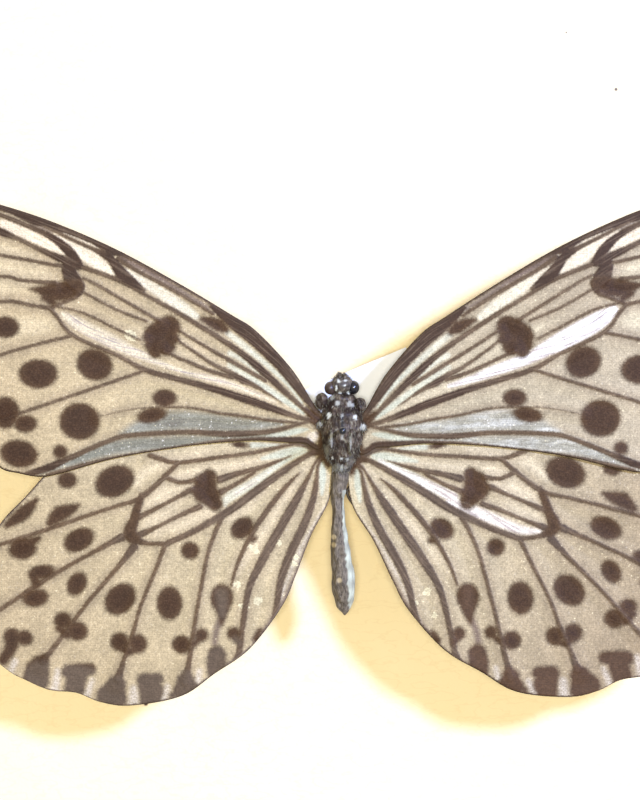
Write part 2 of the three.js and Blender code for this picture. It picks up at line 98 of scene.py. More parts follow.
# Both wings are [out from the pin, forward of the pin] for a wing of either side. A line is
# [out, forward, width], and a spot is [out, forward, half length, half width, turn in degrees].
FOREWING = {
    "leading": [
        [2.2, 1.6], [4.2, 3.9], [7.5, 9.1], [12.8, 14.8], [16.6, 17.3], [24.5, 22.0], [33.9, 27.1],
        [43.4, 31.2], [51.3, 33.8], [57.5, 35.4], [61.5, 35.6], [63.8, 34.2],
    ],
    "trailing": [
        [2.2, -2.2], [3.4, -2.9], [4.4, -2.7], [5.6, -2.0], [7.8, -1.9], [10.0, -1.75], [13.0, -1.6],
        [18.3, -1.9], [24.5, -2.6], [33.8, -4.2], [41.8, -6.4],
        [45.2, -7.0], [48.3, -6.5], [51.3, -5.6], [54.4, -2.0], [57.8, 4.5], [60.8, 12.5], [63.0, 21.0],
        [64.6, 28.0], [64.8, 31.6], [63.8, 34.2],
    ],
    # Raised lines: the wide ones are dark, and the thin ones are lighter
    "veins": {
        "costal_band": [
            [3.8, 2.7, 0.9], [5.6, 5.1, 1.3], [7.4, 7.4, 1.5], [9.5, 10.0, 1.75], [12.9, 13.4, 2.0],
            [16.4, 16.3, 2.1], [18.3, 17.8, 1.6], [19.4, 18.6, 1.0],
        ],
        "costa": [
            [18.0, 18.1, 0.6], [24.7, 22.0, 0.6], [32.0, 25.9, 0.8], [34.5, 26.9, 1.5],
            [37.8, 28.5, 1.0], [43.7, 30.9, 1.5], [46.2, 31.6, 1.8], [51.2, 33.4, 1.2],
            [60.8, 35.0, 1.2],
        ],
        "subcosta": [
            [19.3, 17.4, 0.6], [22.6, 19.4, 0.6], [27.0, 21.9, 0.7], [30.3, 23.6, 0.65],
            [33.5, 25.6, 0.9],
        ],
        "outer_subcosta": [
            [34.5, 25.4, 1.1], [36.2, 26.6, 1.0], [37.8, 27.3, 0.65], [41.2, 28.9, 0.65],
            [43.4, 30.1, 0.7], [44.5, 30.7, 0.8],
        ],
        "radius": [
            [3.2, 0.9, 0.6], [5.8, 3.2, 0.6], [8.2, 5.4, 0.9], [11.8, 8.7, 1.15], [14.8, 11.3, 1.0],
            [18.9, 14.1, 0.85], [25.2, 17.9, 0.8], [29.2, 20.1, 0.7], [32.4, 22.0, 0.9],
            [35.5, 23.2, 0.75], [39.5, 24.6, 0.9], [40.5, 25.1, 1.4], [42.0, 25.6, 1.2],
            [45.4, 27.1, 0.85], [48.7, 28.7, 0.75], [51.2, 29.7, 1.3], [54.5, 31.0, 0.6],
            [61.0, 33.0, 0.5],
        ],
        "first_radial": [
            [29.8, 21.0, 0.8], [31.2, 21.9, 1.6], [32.5, 22.9, 1.9], [33.5, 24.1, 1.7],
            [35.3, 26.6, 1.0], [36.2, 27.6, 0.85],
        ],
        "second_radial": [
            [39.5, 24.7, 1.6], [40.8, 26.7, 1.6], [43.2, 28.7, 1.1], [46.2, 30.2, 0.85],
            [51.2, 32.2, 0.75], [58.0, 34.3, 0.6],
        ],
        "cell_end": [
            [40.8, 24.9, 2.2], [40.9, 23.6, 2.2], [40.2, 22.4, 2.5], [39.4, 21.4, 1.9],
            [39.5, 20.2, 1.0], [40.8, 19.5, 0.7], [43.5, 18.3, 0.7],
        ],
        "first_medial": [[40.5, 24.7, 0.8], [42.5, 24.6, 0.65], [47.9, 25.6, 0.6], [62.8, 28.2, 0.5]],
        "second_medial": [[43.0, 22.0, 0.8], [47.9, 22.4, 0.6], [51.2, 23.0, 0.6], [62.6, 22.4, 0.5]],
        "third_medial": [[43.7, 18.2, 0.8], [46.2, 18.6, 0.65], [51.2, 19.2, 0.6], [61.3, 16.8, 0.5]],
        "cubitus": [
            [3.4, 1.0, 0.7], [6.8, 2.0, 0.8], [9.8, 3.0, 1.1], [13.8, 4.4, 1.3], [19.7, 6.3, 1.1],
            [24.5, 7.6, 0.95], [29.5, 9.0, 0.9], [33.5, 11.1, 0.7], [40.2, 14.1, 0.7],
            [42.7, 17.0, 0.65], [43.7, 18.2, 0.8],
        ],
        "first_cubital": [[40.3, 14.1, 0.6], [45.4, 12.9, 0.6], [51.2, 11.2, 0.6], [58.8, 8.6, 0.5]],
        "second_cubital": [[29.6, 8.9, 0.6], [35.3, 6.9, 0.6], [44.1, 3.9, 0.6], [55.0, 0.2, 0.6]],
        "upper_fold": [[11.5, 7.4, 0.7], [16.8, 10.4, 0.7], [20.8, 12.7, 0.6], [24.3, 14.8, 0.5]],
        "upper_fold_outer": [[27.5, 16.4, 0.6], [32.0, 19.0, 0.6], [37.0, 21.9, 0.55], [38.8, 22.7, 0.5]],
        "middle_fold": [
            [9.1, 4.2, 0.2], [12.8, 6.5, 0.7], [14.8, 7.4, 1.1], [16.8, 8.6, 0.9], [19.6, 10.0, 0.65],
            [24.6, 13.4, 0.5],
        ],
        "middle_fold_outer": [[29.3, 16.3, 0.5], [33.7, 18.0, 0.5], [38.7, 20.6, 0.5]],
        "lower_fold": [[16.4, 7.9, 0.8], [19.9, 8.9, 0.7], [26.8, 11.8, 0.6]],
        "lower_fold_outer": [[30.3, 13.5, 0.4], [33.7, 15.1, 0.5], [38.7, 17.5, 0.5], [43.2, 18.6, 0.4]],
        "anal": [
            [4.6, 1.4, 0.5], [6.8, 0.8, 0.6], [10.8, -0.2, 0.8], [16.8, -0.6, 1.0], [23.5, -0.3, 0.8],
            [31.8, -0.8, 0.8], [34.9, -1.6, 0.8], [40.6, -4.1, 0.9], [44.1, -5.7, 1.2],
            [47.6, -6.7, 0.8],
        ],
        "inner_margin": [
            [3.0, -3.1, 1.4], [3.4, -2.9, 1.4], [4.4, -2.5, 1.3], [5.6, -1.6, 1.2], [7.8, -1.6, 1.2],
            [10.0, -1.5, 1.0], [13.9, -1.6, 1.0], [18.5, -1.8, 0.7],
            [26.5, -3.0, 0.7], [33.5, -4.3, 1.05], [38.5, -5.3, 0.9], [44.1, -6.7, 0.6],
        ],
        "thin_line": [
            [5.6, 1.0, 0.4], [8.0, 1.2, 0.5], [11.2, 1.5, 0.5], [14.8, 2.1, 0.55], [18.2, 2.5, 0.5],
            [23.5, 3.4, 0.4], [30.8, 3.2, 0.25], [36.1, 2.1, 0.15],
        ],
    },
    # Dark scales on the membrane, which are colour alone
    "marks": {
        "root": [[5.4, 3.1, 0.8], [4.2, 2.0, 1.7], [3.0, 0.9, 2.3], [2.4, -0.8, 2.2], [2.7, -2.0, 2.0]],
        "costal_patch": [[21.0, 16.7, 0.7], [19.6, 16.2, 1.6], [18.3, 15.6, 2.0], [17.5, 15.1, 1.2]],
        "cell_spot": [[25.9, 15.5, 3.4], [28.1, 14.0, 3.6], [28.0, 11.8, 2.2]],
        "cell_end_blotch": [
            [39.5, 21.6, 1.8], [40.8, 21.1, 2.8], [42.5, 20.7, 2.9], [44.0, 20.7, 2.3],
            [45.5, 21.0, 1.1], [46.7, 21.1, 0.3],
        ],
        "cell_end_tail": [[44.5, 19.9, 1.2], [43.3, 19.2, 1.2]],
    },
    "spots": [
        [25.9, 13.8, 1.5, 1.3, 0], [26.6, 12.6, 1.7, 1.4, 0],
        [26.6, 4.8, 1.82, 1.33, 0], [28.5, 2.2, 2.3, 1.1, -12], [45.5, 8.4, 2.92, 2.2, 0],
        [37.05, 9.8, 2.75, 2.35, 22], [39.3, 1.3, 3.05, 2.8, 0], [50.4, 15.4, 2.1, 1.65, 0],
        [47.4, 0.95, 1.77, 1.33, 0], [50.4, 2.6, 2.1, 2.4, 0], [48.35, -3.55, 2.9, 2.05, 10],
        [42.2, -3.25, 1.06, 1.06, 0],
        # Beyond the picture's edge, made up to match the row that shows
        [57.6, 25.4, 1.7, 1.5, 0], [57.4, 19.8, 1.8, 1.6, 0], [55.4, 13.4, 1.9, 1.7, 0],
        [62.0, 25.4, 1.4, 1.6, 0], [61.2, 19.4, 1.5, 1.7, 0], [59.6, 12.6, 1.5, 1.6, 0],
        [56.6, 5.0, 1.5, 1.7, 0], [53.2, -2.2, 1.4, 1.4, 0], [57.0, 30.6, 1.6, 1.0, 0],
    ],
    # Cream-white cells
    "pale": {
        "cell_a": [[32.3, 23.9, 0.6], [30.3, 22.6, 1.3], [25.0, 19.2, 1.6], [21.9, 17.1, 1.0]],
        "cell_b": [[42.9, 29.1, 0.4], [38.8, 26.6, 1.8], [37.0, 25.4, 2.1], [34.3, 23.5, 0.7]],
        "cell_c": [[42.9, 30.1, 0.4], [38.2, 28.2, 0.5], [36.5, 27.3, 0.25]],
        "cell_d": [[50.9, 30.9, 1.3], [47.9, 29.7, 1.6], [42.9, 27.3, 1.3], [41.5, 26.5, 0.75]],
        "cell_e": [[50.2, 32.7, 0.25], [48.7, 32.2, 0.35], [47.0, 31.5, 0.3]],
        "base_streak": [
            [17.2, 14.6, 0.8], [14.5, 12.5, 0.9], [11.6, 10.1, 0.75], [8.3, 7.0, 0.5],
            [6.0, 4.1, 0.2],
        ],
        "fold_streak": [[16.8, 9.7, 0.9], [12.8, 7.3, 0.8], [8.8, 4.6, 0.9], [5.8, 2.5, 0.4]],
        "upper_streak": [[16.8, 11.5, 0.8], [15.3, 10.7, 0.6], [12.5, 8.5, 0.2]],
        "root_upper": [[5.2, 0.1, 0.3], [6.6, -0.1, 0.9], [8.6, -0.6, 0.8], [11.0, -0.9, 0.3]],
    },
    # The ground of the cell and of the strip above it is lighter than the rest
    "cream": {
        "cell": [
            [31.0, 15.4, 0.5], [26.0, 12.8, 3.6], [20.0, 9.8, 4.8], [14.0, 6.6, 4.0], [10.0, 4.6, 2.6],
            [6.0, 2.3, 1.0],
        ],
        "upper": [[33.0, 22.4, 0.3], [28.0, 19.6, 1.0], [22.0, 16.2, 1.6], [14.0, 11.0, 0.8]],
        "middle": [[42.6, 16.0, 1.0], [46.0, 15.6, 2.6], [54.0, 15.0, 3.0]],
        "tip": [[44.0, 22.0, 2.0], [48.0, 24.0, 6.0], [56.0, 24.0, 9.0], [61.0, 24.0, 6.0]],
        "outer": [[40.0, 29.2, 1.0], [46.0, 30.6, 1.6], [50.5, 31.6, 1.6]],
    },
    # Thin brown scales over the pale ground
    "wash": {
        "costal_strip": [[20.0, 18.4, 0.5], [25.0, 21.4, 0.8], [27.8, 23.2, 1.2], [32.8, 25.8, 1.3]],
        "outer_strip": [[43.4, 29.7, 0.6], [46.2, 30.9, 0.6]],
    },
    # Where the hindwing shows through from below: painted shade, as two layers of membrane let less light
    # through, with patches of painted sheen
    "under": {
        "inner": [[9.0, 0.9, 0.8], [16.0, 0.8, 2.4], [24.0, 1.4, 3.0], [29.5, 0.6, 2.4], [33.0, -0.6, 0.6]],
        "base": [[9.0, -0.7, 0.8], [18.5, -1.2, 1.2], [26.0, -1.9, 2.2], [34.0, -2.6, 2.4],
                 [40.0, -4.6, 1.6], [45.0, -6.3, 0.6]],
    },
}
HINDWING = {
    "leading": [
        [2.2, -1.4], [7.1, 1.4], [13.4, 2.6], [19.7, 3.2], [26.0, 2.9], [33.1, 0.4], [38.7, -2.6],
        [43.4, -5.6], [47.3, -9.8], [51.3, -14.1], [53.8, -19.5], [54.5, -25.5], [53.4, -31.5],
        [51.3, -35.2],
    ],
    "trailing": [
        [1.4, -5.0], [1.9, -10.4], [4.6, -15.8], [7.0, -22.0], [9.0, -26.5], [13.8, -32.8],
        [19.1, -36.6], [24.2, -40.0], [31.7, -41.4], [36.2, -40.9], [39.9, -39.5], [44.1, -39.0],
        [48.2, -37.2], [49.4, -36.6], [51.3, -35.2],
    ],
    "veins": {
        "subcosta": [
            [6.8, -2.0, 0.5], [9.1, -2.5, 0.6], [13.9, -3.5, 0.65], [19.1, -4.2, 0.7],
            [24.6, -4.9, 0.75], [27.4, -4.3, 0.85], [28.8, -3.8, 0.8],
        ],
        "radial_sector": [
            [24.6, -4.9, 0.8], [27.7, -8.1, 0.85], [29.6, -9.7, 0.95], [31.0, -10.6, 0.85],
            [34.1, -11.5, 0.65], [39.3, -13.2, 0.7], [44.5, -15.0, 0.75], [52.6, -17.6, 0.6],
        ],
        "cell_end": [
            [30.1, -9.8, 0.95], [30.7, -11.6, 1.25], [31.3, -13.9, 1.5], [31.9, -15.4, 2.0],
            [31.2, -16.4, 1.5], [29.2, -17.0, 0.75], [26.7, -17.1, 0.8],
        ],
        "upper_fold": [
            [7.7, -3.9, 0.2], [10.1, -4.9, 0.6], [13.1, -5.9, 0.8], [14.8, -6.3, 0.9],
            [16.5, -6.8, 1.0], [18.3, -7.4, 1.3],
        ],
        "middle_fold": [[13.1, -6.3, 0.6], [15.7, -8.0, 0.7], [18.2, -9.3, 1.0]],
        "upper_fold_outer": [[26.7, -7.0, 0.9], [24.3, -7.9, 0.7], [22.0, -7.5, 0.85]],
        "middle_fold_outer": [[22.7, -9.0, 1.0], [26.0, -10.8, 0.65], [30.5, -13.1, 1.0]],
        "lower_fold_outer": [[21.3, -11.5, 1.0], [24.3, -12.8, 0.75], [27.7, -14.5, 0.7], [30.7, -15.9, 1.2]],
        "root_band": [[2.3, -3.6, 1.8], [3.5, -3.1, 1.6], [5.2, -2.2, 1.1], [7.8, -1.9, 0.8]],
        "cubitus": [
            [2.9, -3.0, 0.9], [4.6, -3.5, 0.8], [7.2, -5.1, 0.95], [11.1, -7.8, 1.25], [15.7, -11.3, 1.3],
            [19.1, -13.4, 1.15], [22.9, -15.5, 1.0], [26.7, -17.2, 0.95],
        ],
        "first_cubital": [
            [18.1, -13.2, 1.0], [18.9, -15.0, 0.75], [20.1, -18.4, 0.7], [20.9, -22.3, 0.7],
            [21.9, -27.8, 0.7], [22.5, -31.8, 0.8], [23.1, -35.6, 0.95], [23.5, -37.8, 1.3],
        ],
        "third_medial": [
            [26.6, -17.4, 0.85], [27.9, -20.8, 0.7], [30.2, -26.4, 0.65], [31.5, -30.9, 0.75],
            [32.8, -34.7, 0.8], [33.6, -37.3, 1.3],
        ],
        "second_medial": [
            [31.2, -17.5, 1.4], [33.4, -20.3, 0.85], [38.1, -25.8, 0.7], [41.9, -30.9, 0.75],
            [44.9, -34.7, 1.0],
        ],
        "first_medial": [
            [33.1, -16.1, 1.4], [34.1, -16.6, 1.0], [39.3, -19.4, 0.68], [44.1, -22.2, 0.8],
            [51.4, -27.0, 0.75], [53.8, -28.6, 0.7],
        ],
        "second_cubital": [
            [6.4, -6.5, 0.3], [8.5, -8.6, 0.8], [11.9, -13.0, 0.95], [14.2, -16.8, 0.8],
            [15.9, -20.7, 0.65], [16.6, -23.3, 0.45],
        ],
        "first_anal": [
            [2.9, -3.8, 0.8], [4.0, -4.9, 0.5], [4.9, -6.8, 0.6], [6.8, -10.4, 1.3], [9.3, -14.8, 1.45],
            [11.9, -19.4, 1.4], [13.9, -23.6, 1.1], [14.8, -28.5, 0.95], [15.4, -33.1, 1.0],
            [15.8, -35.0, 1.8],
        ],
        "second_anal": [
            [2.8, -3.9, 0.8], [3.6, -5.2, 0.5], [3.8, -7.4, 0.75], [4.4, -10.6, 1.1], [5.7, -14.2, 1.3],
            [7.9, -18.9, 1.35], [9.2, -22.6, 1.15], [9.8, -26.4, 1.0], [10.3, -28.4, 0.9],
        ],
    },
    "marks": {
        "root": [[4.4, -3.4, 0.8], [3.3, -3.3, 1.5], [2.4, -3.8, 2.0], [2.1, -5.2, 1.0]],
        "cell_end": [[30.4, -10.6, 0.9], [30.7, -11.8, 1.0], [31.3, -13.9, 1.3], [31.9, -15.4, 1.9],
                     [31.2, -16.3, 1.5], [30.3, -16.7, 0.5]],
        "cell_spot": [[20.0, -7.0, 2.4], [20.7, -8.8, 4.0], [19.6, -10.2, 3.0], [19.1, -11.0, 2.4]],
        "upper_margin": [[45.9, -10.5, 0.8], [47.3, -12.0, 2.0], [48.6, -13.1, 2.0], [50.3, -14.3, 1.0]],
        "under_radial": [[39.5, -11.3, 0.6], [40.7, -11.9, 1.6], [42.4, -12.6, 2.4], [43.8, -13.9, 1.2]],
        "below_radial": [[45.6, -16.3, 0.9], [47.4, -17.2, 2.0]],
        "above_medial": [[46.2, -21.8, 1.8], [45.8, -23.3, 1.2]],
        "medial_pair": [[42.5, -29.7, 1.2], [41.1, -30.8, 1.2]],
        "third_pair": [[33.1, -32.7, 1.3], [32.0, -33.4, 1.0], [30.9, -32.9, 1.3]],
        "tail_of_drop": [[18.0, -26.7, 2.6], [18.0, -28.2, 1.2], [18.1, -29.0, 0.6]],
        "heart": [[49.5, -31.0, 2.6], [49.6, -32.6, 1.9], [50.8, -34.4, 1.7]],
        "margin_a": [[44.9, -34.4, 1.6], [45.7, -35.9, 3.5], [46.0, -37.6, 3.9]],
        "margin_b": [[37.8, -35.9, 1.8], [39.5, -36.2, 2.4], [41.0, -36.3, 2.2]],
        "margin_b_foot": [[39.8, -37.0, 3.1], [40.2, -39.0, 3.0]],
        "margin_c": [[33.5, -37.1, 1.0], [33.9, -38.3, 2.9], [34.5, -39.9, 4.7]],
        "margin_d": [[27.7, -37.4, 1.8], [29.8, -37.4, 1.8], [28.7, -38.7, 3.7], [28.8, -40.4, 3.1]],
        "margin_e": [[23.4, -36.7, 1.2], [23.5, -37.8, 2.8], [23.4, -38.8, 4.0]],
        "margin_e_corner": [[24.2, -38.8, 0.9], [25.5, -39.9, 0.9]],
        "margin_f": [[18.8, -33.8, 2.8], [18.9, -35.2, 3.0], [19.2, -36.3, 2.2]],
        "margin_g": [[12.4, -30.2, 0.9], [13.0, -31.3, 0.9]],
        "side_of_cubital": [[21.3, -31.2, 1.1], [22.2, -32.2, 0.8]],
        "side_of_anal": [[16.2, -31.1, 1.1], [15.4, -31.9, 0.9]],
        "smudge": [[13.1, -16.3, 0.8], [13.4, -16.5, 0.8]],
    },
    "spots": [
        [34.1, -7.7, 3.07, 2.33, -25], [41.2, -7.5, 1.45, 1.25, 0], [39.5, -16.5, 2.5, 1.65, -28],
        [47.9, -17.8, 2.1, 1.65, -10], [45.1, -21.3, 2.05, 1.05, -10], [46.0, -25.2, 2.0, 1.35, -8],
        [39.8, -23.1, 1.9, 1.4, -60], [33.3, -25.4, 2.65, 2.1, -48], [25.9, -26.0, 1.95, 2.55, 0],
        [22.8, -18.1, 1.4, 1.35, 0], [15.0, -14.7, 1.95, 1.5, -40], [18.05, -25.2, 1.75, 2.1, 0],
        [41.9, -28.6, 1.35, 1.3, 0], [39.7, -30.2, 1.55, 1.45, 0], [33.4, -31.8, 1.4, 1.4, 0],
        [30.6, -32.1, 1.35, 1.45, 0], [24.1, -32.2, 1.45, 1.4, 0], [21.1, -30.8, 1.0, 1.0, 0],
        [16.3, -30.6, 1.0, 1.0, 0], [47.7, -31.2, 1.35, 1.15, 15], [15.4, -2.2, 1.29, 0.45, 5],
    ],
    "pale": {
        "white_cell": [
            [5.4, -3.2, 0.3], [9.3, -5.1, 0.7], [13.4, -8.0, 1.2], [17.0, -10.1, 1.4],
            [17.6, -11.2, 0.6],
        ],
        "edge_streak": [[13.4, -2.3, 0.9], [9.6, -2.3, 0.2]],
        "upper_root_cell": [[5.4, -2.9, 0.3], [6.8, -3.1, 1.1], [9.0, -3.6, 1.2], [12.0, -4.3, 0.5]],
        "root_cell": [[2.9, -5.0, 0.6], [2.9, -7.1, 1.1], [3.0, -9.7, 0.4]],
    },
    "cream": {
        "cell": [
            [10.0, -4.0, 0.8], [15.0, -5.2, 1.6], [22.0, -6.6, 2.4], [27.0, -11.0, 4.6], [28.0, -14.2, 3.6],
        ],
        "upper": [[20.0, -3.4, 0.8], [28.0, -5.4, 1.4], [31.0, -8.0, 1.0]],
        "inner": [[12.0, -9.4, 0.8], [17.0, -13.4, 1.6], [14.0, -11.4, 1.6]],
        "lower_cell": [[18.0, -12.0, 1.0], [24.0, -13.5, 3.0], [29.0, -14.5, 2.0]],
        "anal": [[5.0, -5.2, 0.4], [8.0, -9.6, 1.0], [12.0, -15.6, 1.4], [16.0, -21.0, 1.2]],
    },
    # Where pale dust lies over the dark marks
    "dusty": {
        "margin": [
            [45.6, -36.8, 4.2], [39.9, -37.6, 4.8], [34.3, -39.0, 4.8], [28.7, -38.9, 5.6],
            [23.5, -37.6, 4.8], [19.0, -34.8, 4.2], [15.9, -32.0, 2.0],
        ],
        "drop": [[18.0, -24.6, 2.0], [18.0, -27.6, 1.4]],
    },
    # Whitish scales between the marks of the outer edge
    "frost": {
        "margin_a": [[49.1, -34.7, 0.9], [49.6, -36.0, 0.8]],
        "margin_b": [[42.7, -36.2, 0.8], [43.1, -38.9, 1.2]],
        "margin_c": [[37.5, -37.6, 0.6], [38.3, -39.9, 1.0]],
        "margin_d": [[31.3, -38.9, 1.1], [31.3, -41.0, 1.5]],
        "margin_e": [[26.2, -38.6, 0.8], [26.8, -40.4, 1.1]],
        "margin_f": [[21.4, -36.2, 0.7], [21.6, -37.7, 0.9]],
        "inner_edge": [
            [2.6, -11.6, 0.1], [5.4, -16.2, 0.2], [7.0, -19.6, 0.6], [8.0, -22.0, 0.3], [10.6, -28.8, 0.2],
        ],
    },
    "wash": {
        "fold": [[18.3, -28.7, 1.1], [18.9, -30.2, 1.0], [19.1, -32.0, 1.0]],
        "inner_corner": [
            [4.6, -15.2, 0.2], [7.0, -21.4, 0.4], [9.4, -27.0, 0.8], [11.2, -29.8, 1.2], [13.2, -31.6, 0.6],
        ],
    },
}

# The zones of a wing's ground, and how far each fades at its edge. A wing may lack a zone.
WING_ZONES = {"pale": 0.25, "cream": 0.9, "frost": 0.45, "wash": 0.5, "under": 0.8, "dusty": 0.7}
# A wing's form: its rounded edge, the flanks of a vein, how far from a vein the membrane still sinks, its
# slow waves, where on the way to the rear edge its droop begins, and the reach of the longest wing
EDGE_ROUND = 0.35
VEIN_FLANK = (-0.25, 0.2)
HOLLOW_REACH = 2.2
WING_WAVE = 0.28
WING_WAVE_LENGTH = 38.0
DROOP_FROM = 0.55
WING_REACH = 66.0
# Random numbers along each of its streaks, and the fading edges of its shiny places, which carry a painted
# highlight, and of its scuffs
STREAK_KNOTS = 26
SHINE_FADE = 0.35
SCUFF_FADE = 0.4
# A curve is worked out at this many places between two points. A stroke is cut into lengths this long,
# and is looked for as far as its reach. A ripple is the sum of this many waves, divided by its height.
CURVE_PLACES = 24
STROKE_LENGTH = 0.9
STROKE_REACH = 2.5
RIPPLE_WAVES = 7
RIPPLE_STRETCH = (0.7, 1.4)
RIPPLE_HEIGHT = 3.2

# How each wing sits: turned forward about its root, in degrees, then moved [out, forward]. The shiny places,
# a painted highlight where the skin is also made smoother, and the scuffs down to the bare white membrane
# differ from side to side.
WING_ROOT = (3.0, -1.0)
SIDES = {
    "left": {
        "side": -1,
        "fore": {
            "turn": 0.0, "move": (0.0, 0.0),
            "shine": {"cell_band": [
                [41.8, 17.4, 0.6], [39.5, 15.9, 1.7], [34.4, 13.3, 1.9], [29.1, 10.8, 1.0],
                [23.5, 8.7, 0.6], [18.0, 7.3, 0.9], [14.0, 5.8, 0.6], [10.0, 4.3, 0.3],
            ], "root_patch": [[3.7, -0.5, 0.7], [4.3, -1.05, 1.7], [5.1, -1.0, 0.3]]},
            "scuffs": [[17.0, 8.6, 1.3, 0.16, 32], [31.7, 14.2, 0.9, 0.7, 30]],
        },
        "hind": {
            "turn": 0.0, "move": (0.0, 0.0),
            "shine": {"white_cell": [[10.5, -6.0, 0.3], [13.4, -7.9, 0.5], [16.0, -9.5, 0.4]]},
            "scuffs": [
                [15.7, -23.2, 0.5, 0.45, 20], [12.6, -25.7, 0.64, 0.6, 45], [15.0, -26.5, 0.44, 0.28, 30],
                [14.2, -26.5, 0.2, 0.2, 0], [13.2, -17.9, 0.95, 0.5, 40], [9.4, -16.9, 0.3, 0.45, 0],
                [6.9, -19.1, 0.4, 0.36, 0], [7.3, -20.1, 0.5, 0.4, 20],
            ],
        },
    },
    "right": {
        "side": 1,
        "fore": {
            "turn": 2.0, "move": (-0.5, -0.8),
            "shine": {"cell_band": [
                [41.8, 17.4, 1.2], [39.5, 15.9, 2.4], [34.4, 13.3, 2.5], [29.1, 10.8, 1.6],
                [23.5, 8.9, 1.3], [19.8, 7.7, 0.8], [16.8, 6.9, 0.3],
            ]},
            "scuffs": [],
        },
        "hind": {
            "turn": 4.5, "move": (-1.0, -1.1),
            "shine": {
                "white_cell": [[6.5, -3.8, 0.4], [13.4, -7.9, 1.2], [17.0, -10.1, 1.5]],
                "outer_cell": [
                    [16.6, -10.6, 1.3], [21.6, -13.2, 1.6], [26.6, -15.7, 1.2], [29.6, -16.2, 0.6],
                ],
            },
            "scuffs": [[12.0, -24.0, 0.6, 0.5, 20], [10.2, -25.5, 0.4, 0.35, 0], [12.8, -27.5, 0.4, 0.3, 0]],
        },
    },
}

# Colours of each wing: its ground near the root and the tip, its cream cells, lines and edge, the dusty
# marks of its margin, its ground where another wing lies against it, which is painted shade, that ground's
# painted sheen, and the painted highlight of its shiny places
WING_COLOURS = {
    "fore_left": {
        "inner": "#AF9F78", "outer": "#B09B75", "cream": "#C3B088", "thin_vein": "#574531", "rim": "#4A3A2C",
        "thick_vein": "#3C2A1C", "margin": "#46352A", "under_inner": "#7D7761", "under_outer": "#6F7063",
        "sheen": "#8F8C7A", "gloss": "#C6B796",
    },
    "fore_right": {
        "inner": "#A79A7A", "outer": "#A9997C", "cream": "#C3B592", "thin_vein": "#574531", "rim": "#4A3A2C",
        "thick_vein": "#3C2A1C", "margin": "#46352A", "under_inner": "#9B957F", "under_outer": "#918D7C",
        "sheen": "#B9B6A6", "gloss": "#E8E1D6",
    },
    "hind_left": {
        "inner": "#BAAA83", "outer": "#A4906C", "cream": "#C9B791", "thin_vein": "#5A4630", "rim": "#6F5F50",
        "thick_vein": "#524130", "margin": "#574838", "under_inner": "#9E8C70", "under_outer": "#9E8A6C",
        "sheen": "#A1A492", "gloss": "#CFC3A6",
    },
    "hind_right": {
        "inner": "#BFB08A", "outer": "#887459", "cream": "#C4B491", "thin_vein": "#564430", "rim": "#5E4E41",
        "thick_vein": "#4E3F31", "margin": "#4D3827", "under_inner": "#9E8C70", "under_outer": "#9E8A6C",
        "sheen": "#B9B6A6", "gloss": "#CFC4B0",
    },
}

# The wing material. Noises: size in mm and detail. Real scales are about 0.1 mm across, in rows about
# 0.15 mm apart. They are drawn at 0.22 to 0.25 mm, in rows 0.34 mm apart, so that they show.
WING_NOISES = {"grain": (0.25, 2.0), "tufts": (0.6, 2.0), "cloud": (4.0, 3.0)}
SCALE_FLECK = 0.22
SCALE_ROW = 0.34
# The scale at which a wave texture makes one wave in each unit of length
WAVE_PERIOD = 2 * math.pi / 20
# Patches of painted sheen, where another wing lies under, are drawn out along the wing
PAINTED_SHEEN_PATCH = 1.3
PAINTED_SHEEN_STRETCH = (0.28, 1.0, 1.0)
WASH_SHARE = 0.8
# How much the streaks count in the relief against the grain
STREAK_RELIEF = 0.8
# How far the scales fray the edge of each mark, in mm for a full swing of the noise
WING_FRAY = {"vein": 0.17, "mark": 0.26, "rim": 0.3, "scuff": 1.3}
# New value: the one it comes from, two of that one's values, and what they become
WING_RANGES = {
    "vein_scales": ("vein_frayed", 0.18, -0.22, 0.0, 1.0),
    "vein_shade": ("vein_frayed", 1.3, 0.05, 0.0, 0.42),
    "vein_width": ("broad", 0.75, 1.15, 0.0, 1.0),
    "vein_dust": ("streak", 0.4, 0.95, 0.0, 0.35),
    "mark_scales": ("mark_frayed", 0.55, -0.4, 0.0, 1.0),
    "mark_dust": ("grain", 0.4, 0.75, 0.0, 0.3),
    "mark_core": ("mark", -0.15, -1.3, 0.0, 1.0),
    "rim_scales": ("rim_frayed", 0.5, 0.1, 0.0, 1.0),
    "scuffed": ("scuff_frayed", 0.3, 0.48, 0.0, 0.95),
    # Darker streaks and painted sheen in the painted shade where another wing lies under
    "under_dark": ("streak", 0.5, 0.95, 0.0, 0.4),
    "painted_sheen_share": ("satin", 0.48, 0.66, 0.0, 0.75),
    "frost_grain": ("grain", 0.3, 0.6, 0.3, 0.75),
    "pale_streak": ("streak", 0.6, 1.0, 1.0, 0.6),
    "painted_highlight_streak": ("streak", 0.45, 0.95, 0.0, 1.0),
    "fine": ("grain", 0.3, 0.7, 0.82, 1.18),
    "middling": ("tufts", 0.3, 0.7, 0.9, 1.1),
    "coarse": ("cloud", 0.3, 0.7, 0.9, 1.1),
    "across": ("rows_x", 0.0, 1.0, 0.98, 1.02),
    "along": ("rows_y", 0.0, 1.0, 0.96, 1.04),
    # Painted glints: pale flecks that stand in for the sparkle of the scales, five times as strong where
    # another wing lies under
    "painted_glint_room": ("under", 0.0, 1.0, 0.1, 0.5),
    "painted_glint_fleck": ("flecks", 0.82, 0.98, 0.0, 1.0),
    "dark_fleck": ("flecks", 0.25, 0.02, 0.0, 0.28),
    "roughness": ("shine", 0.0, 1.0, 0.55, 0.32),
}
WING_PRODUCTS = {
    "washed": ("wash", "wash_share"), "frosted": ("frost", "frost_grain"), "paled": ("pale", "pale_streak"),
    "speckle": ("fine", "coarse"), "mottle": ("speckle", "middling"), "weave": ("across", "along"),
    "texture": ("mottle", "weave"), "painted_glint": ("painted_glint_fleck", "painted_glint_room"),
}
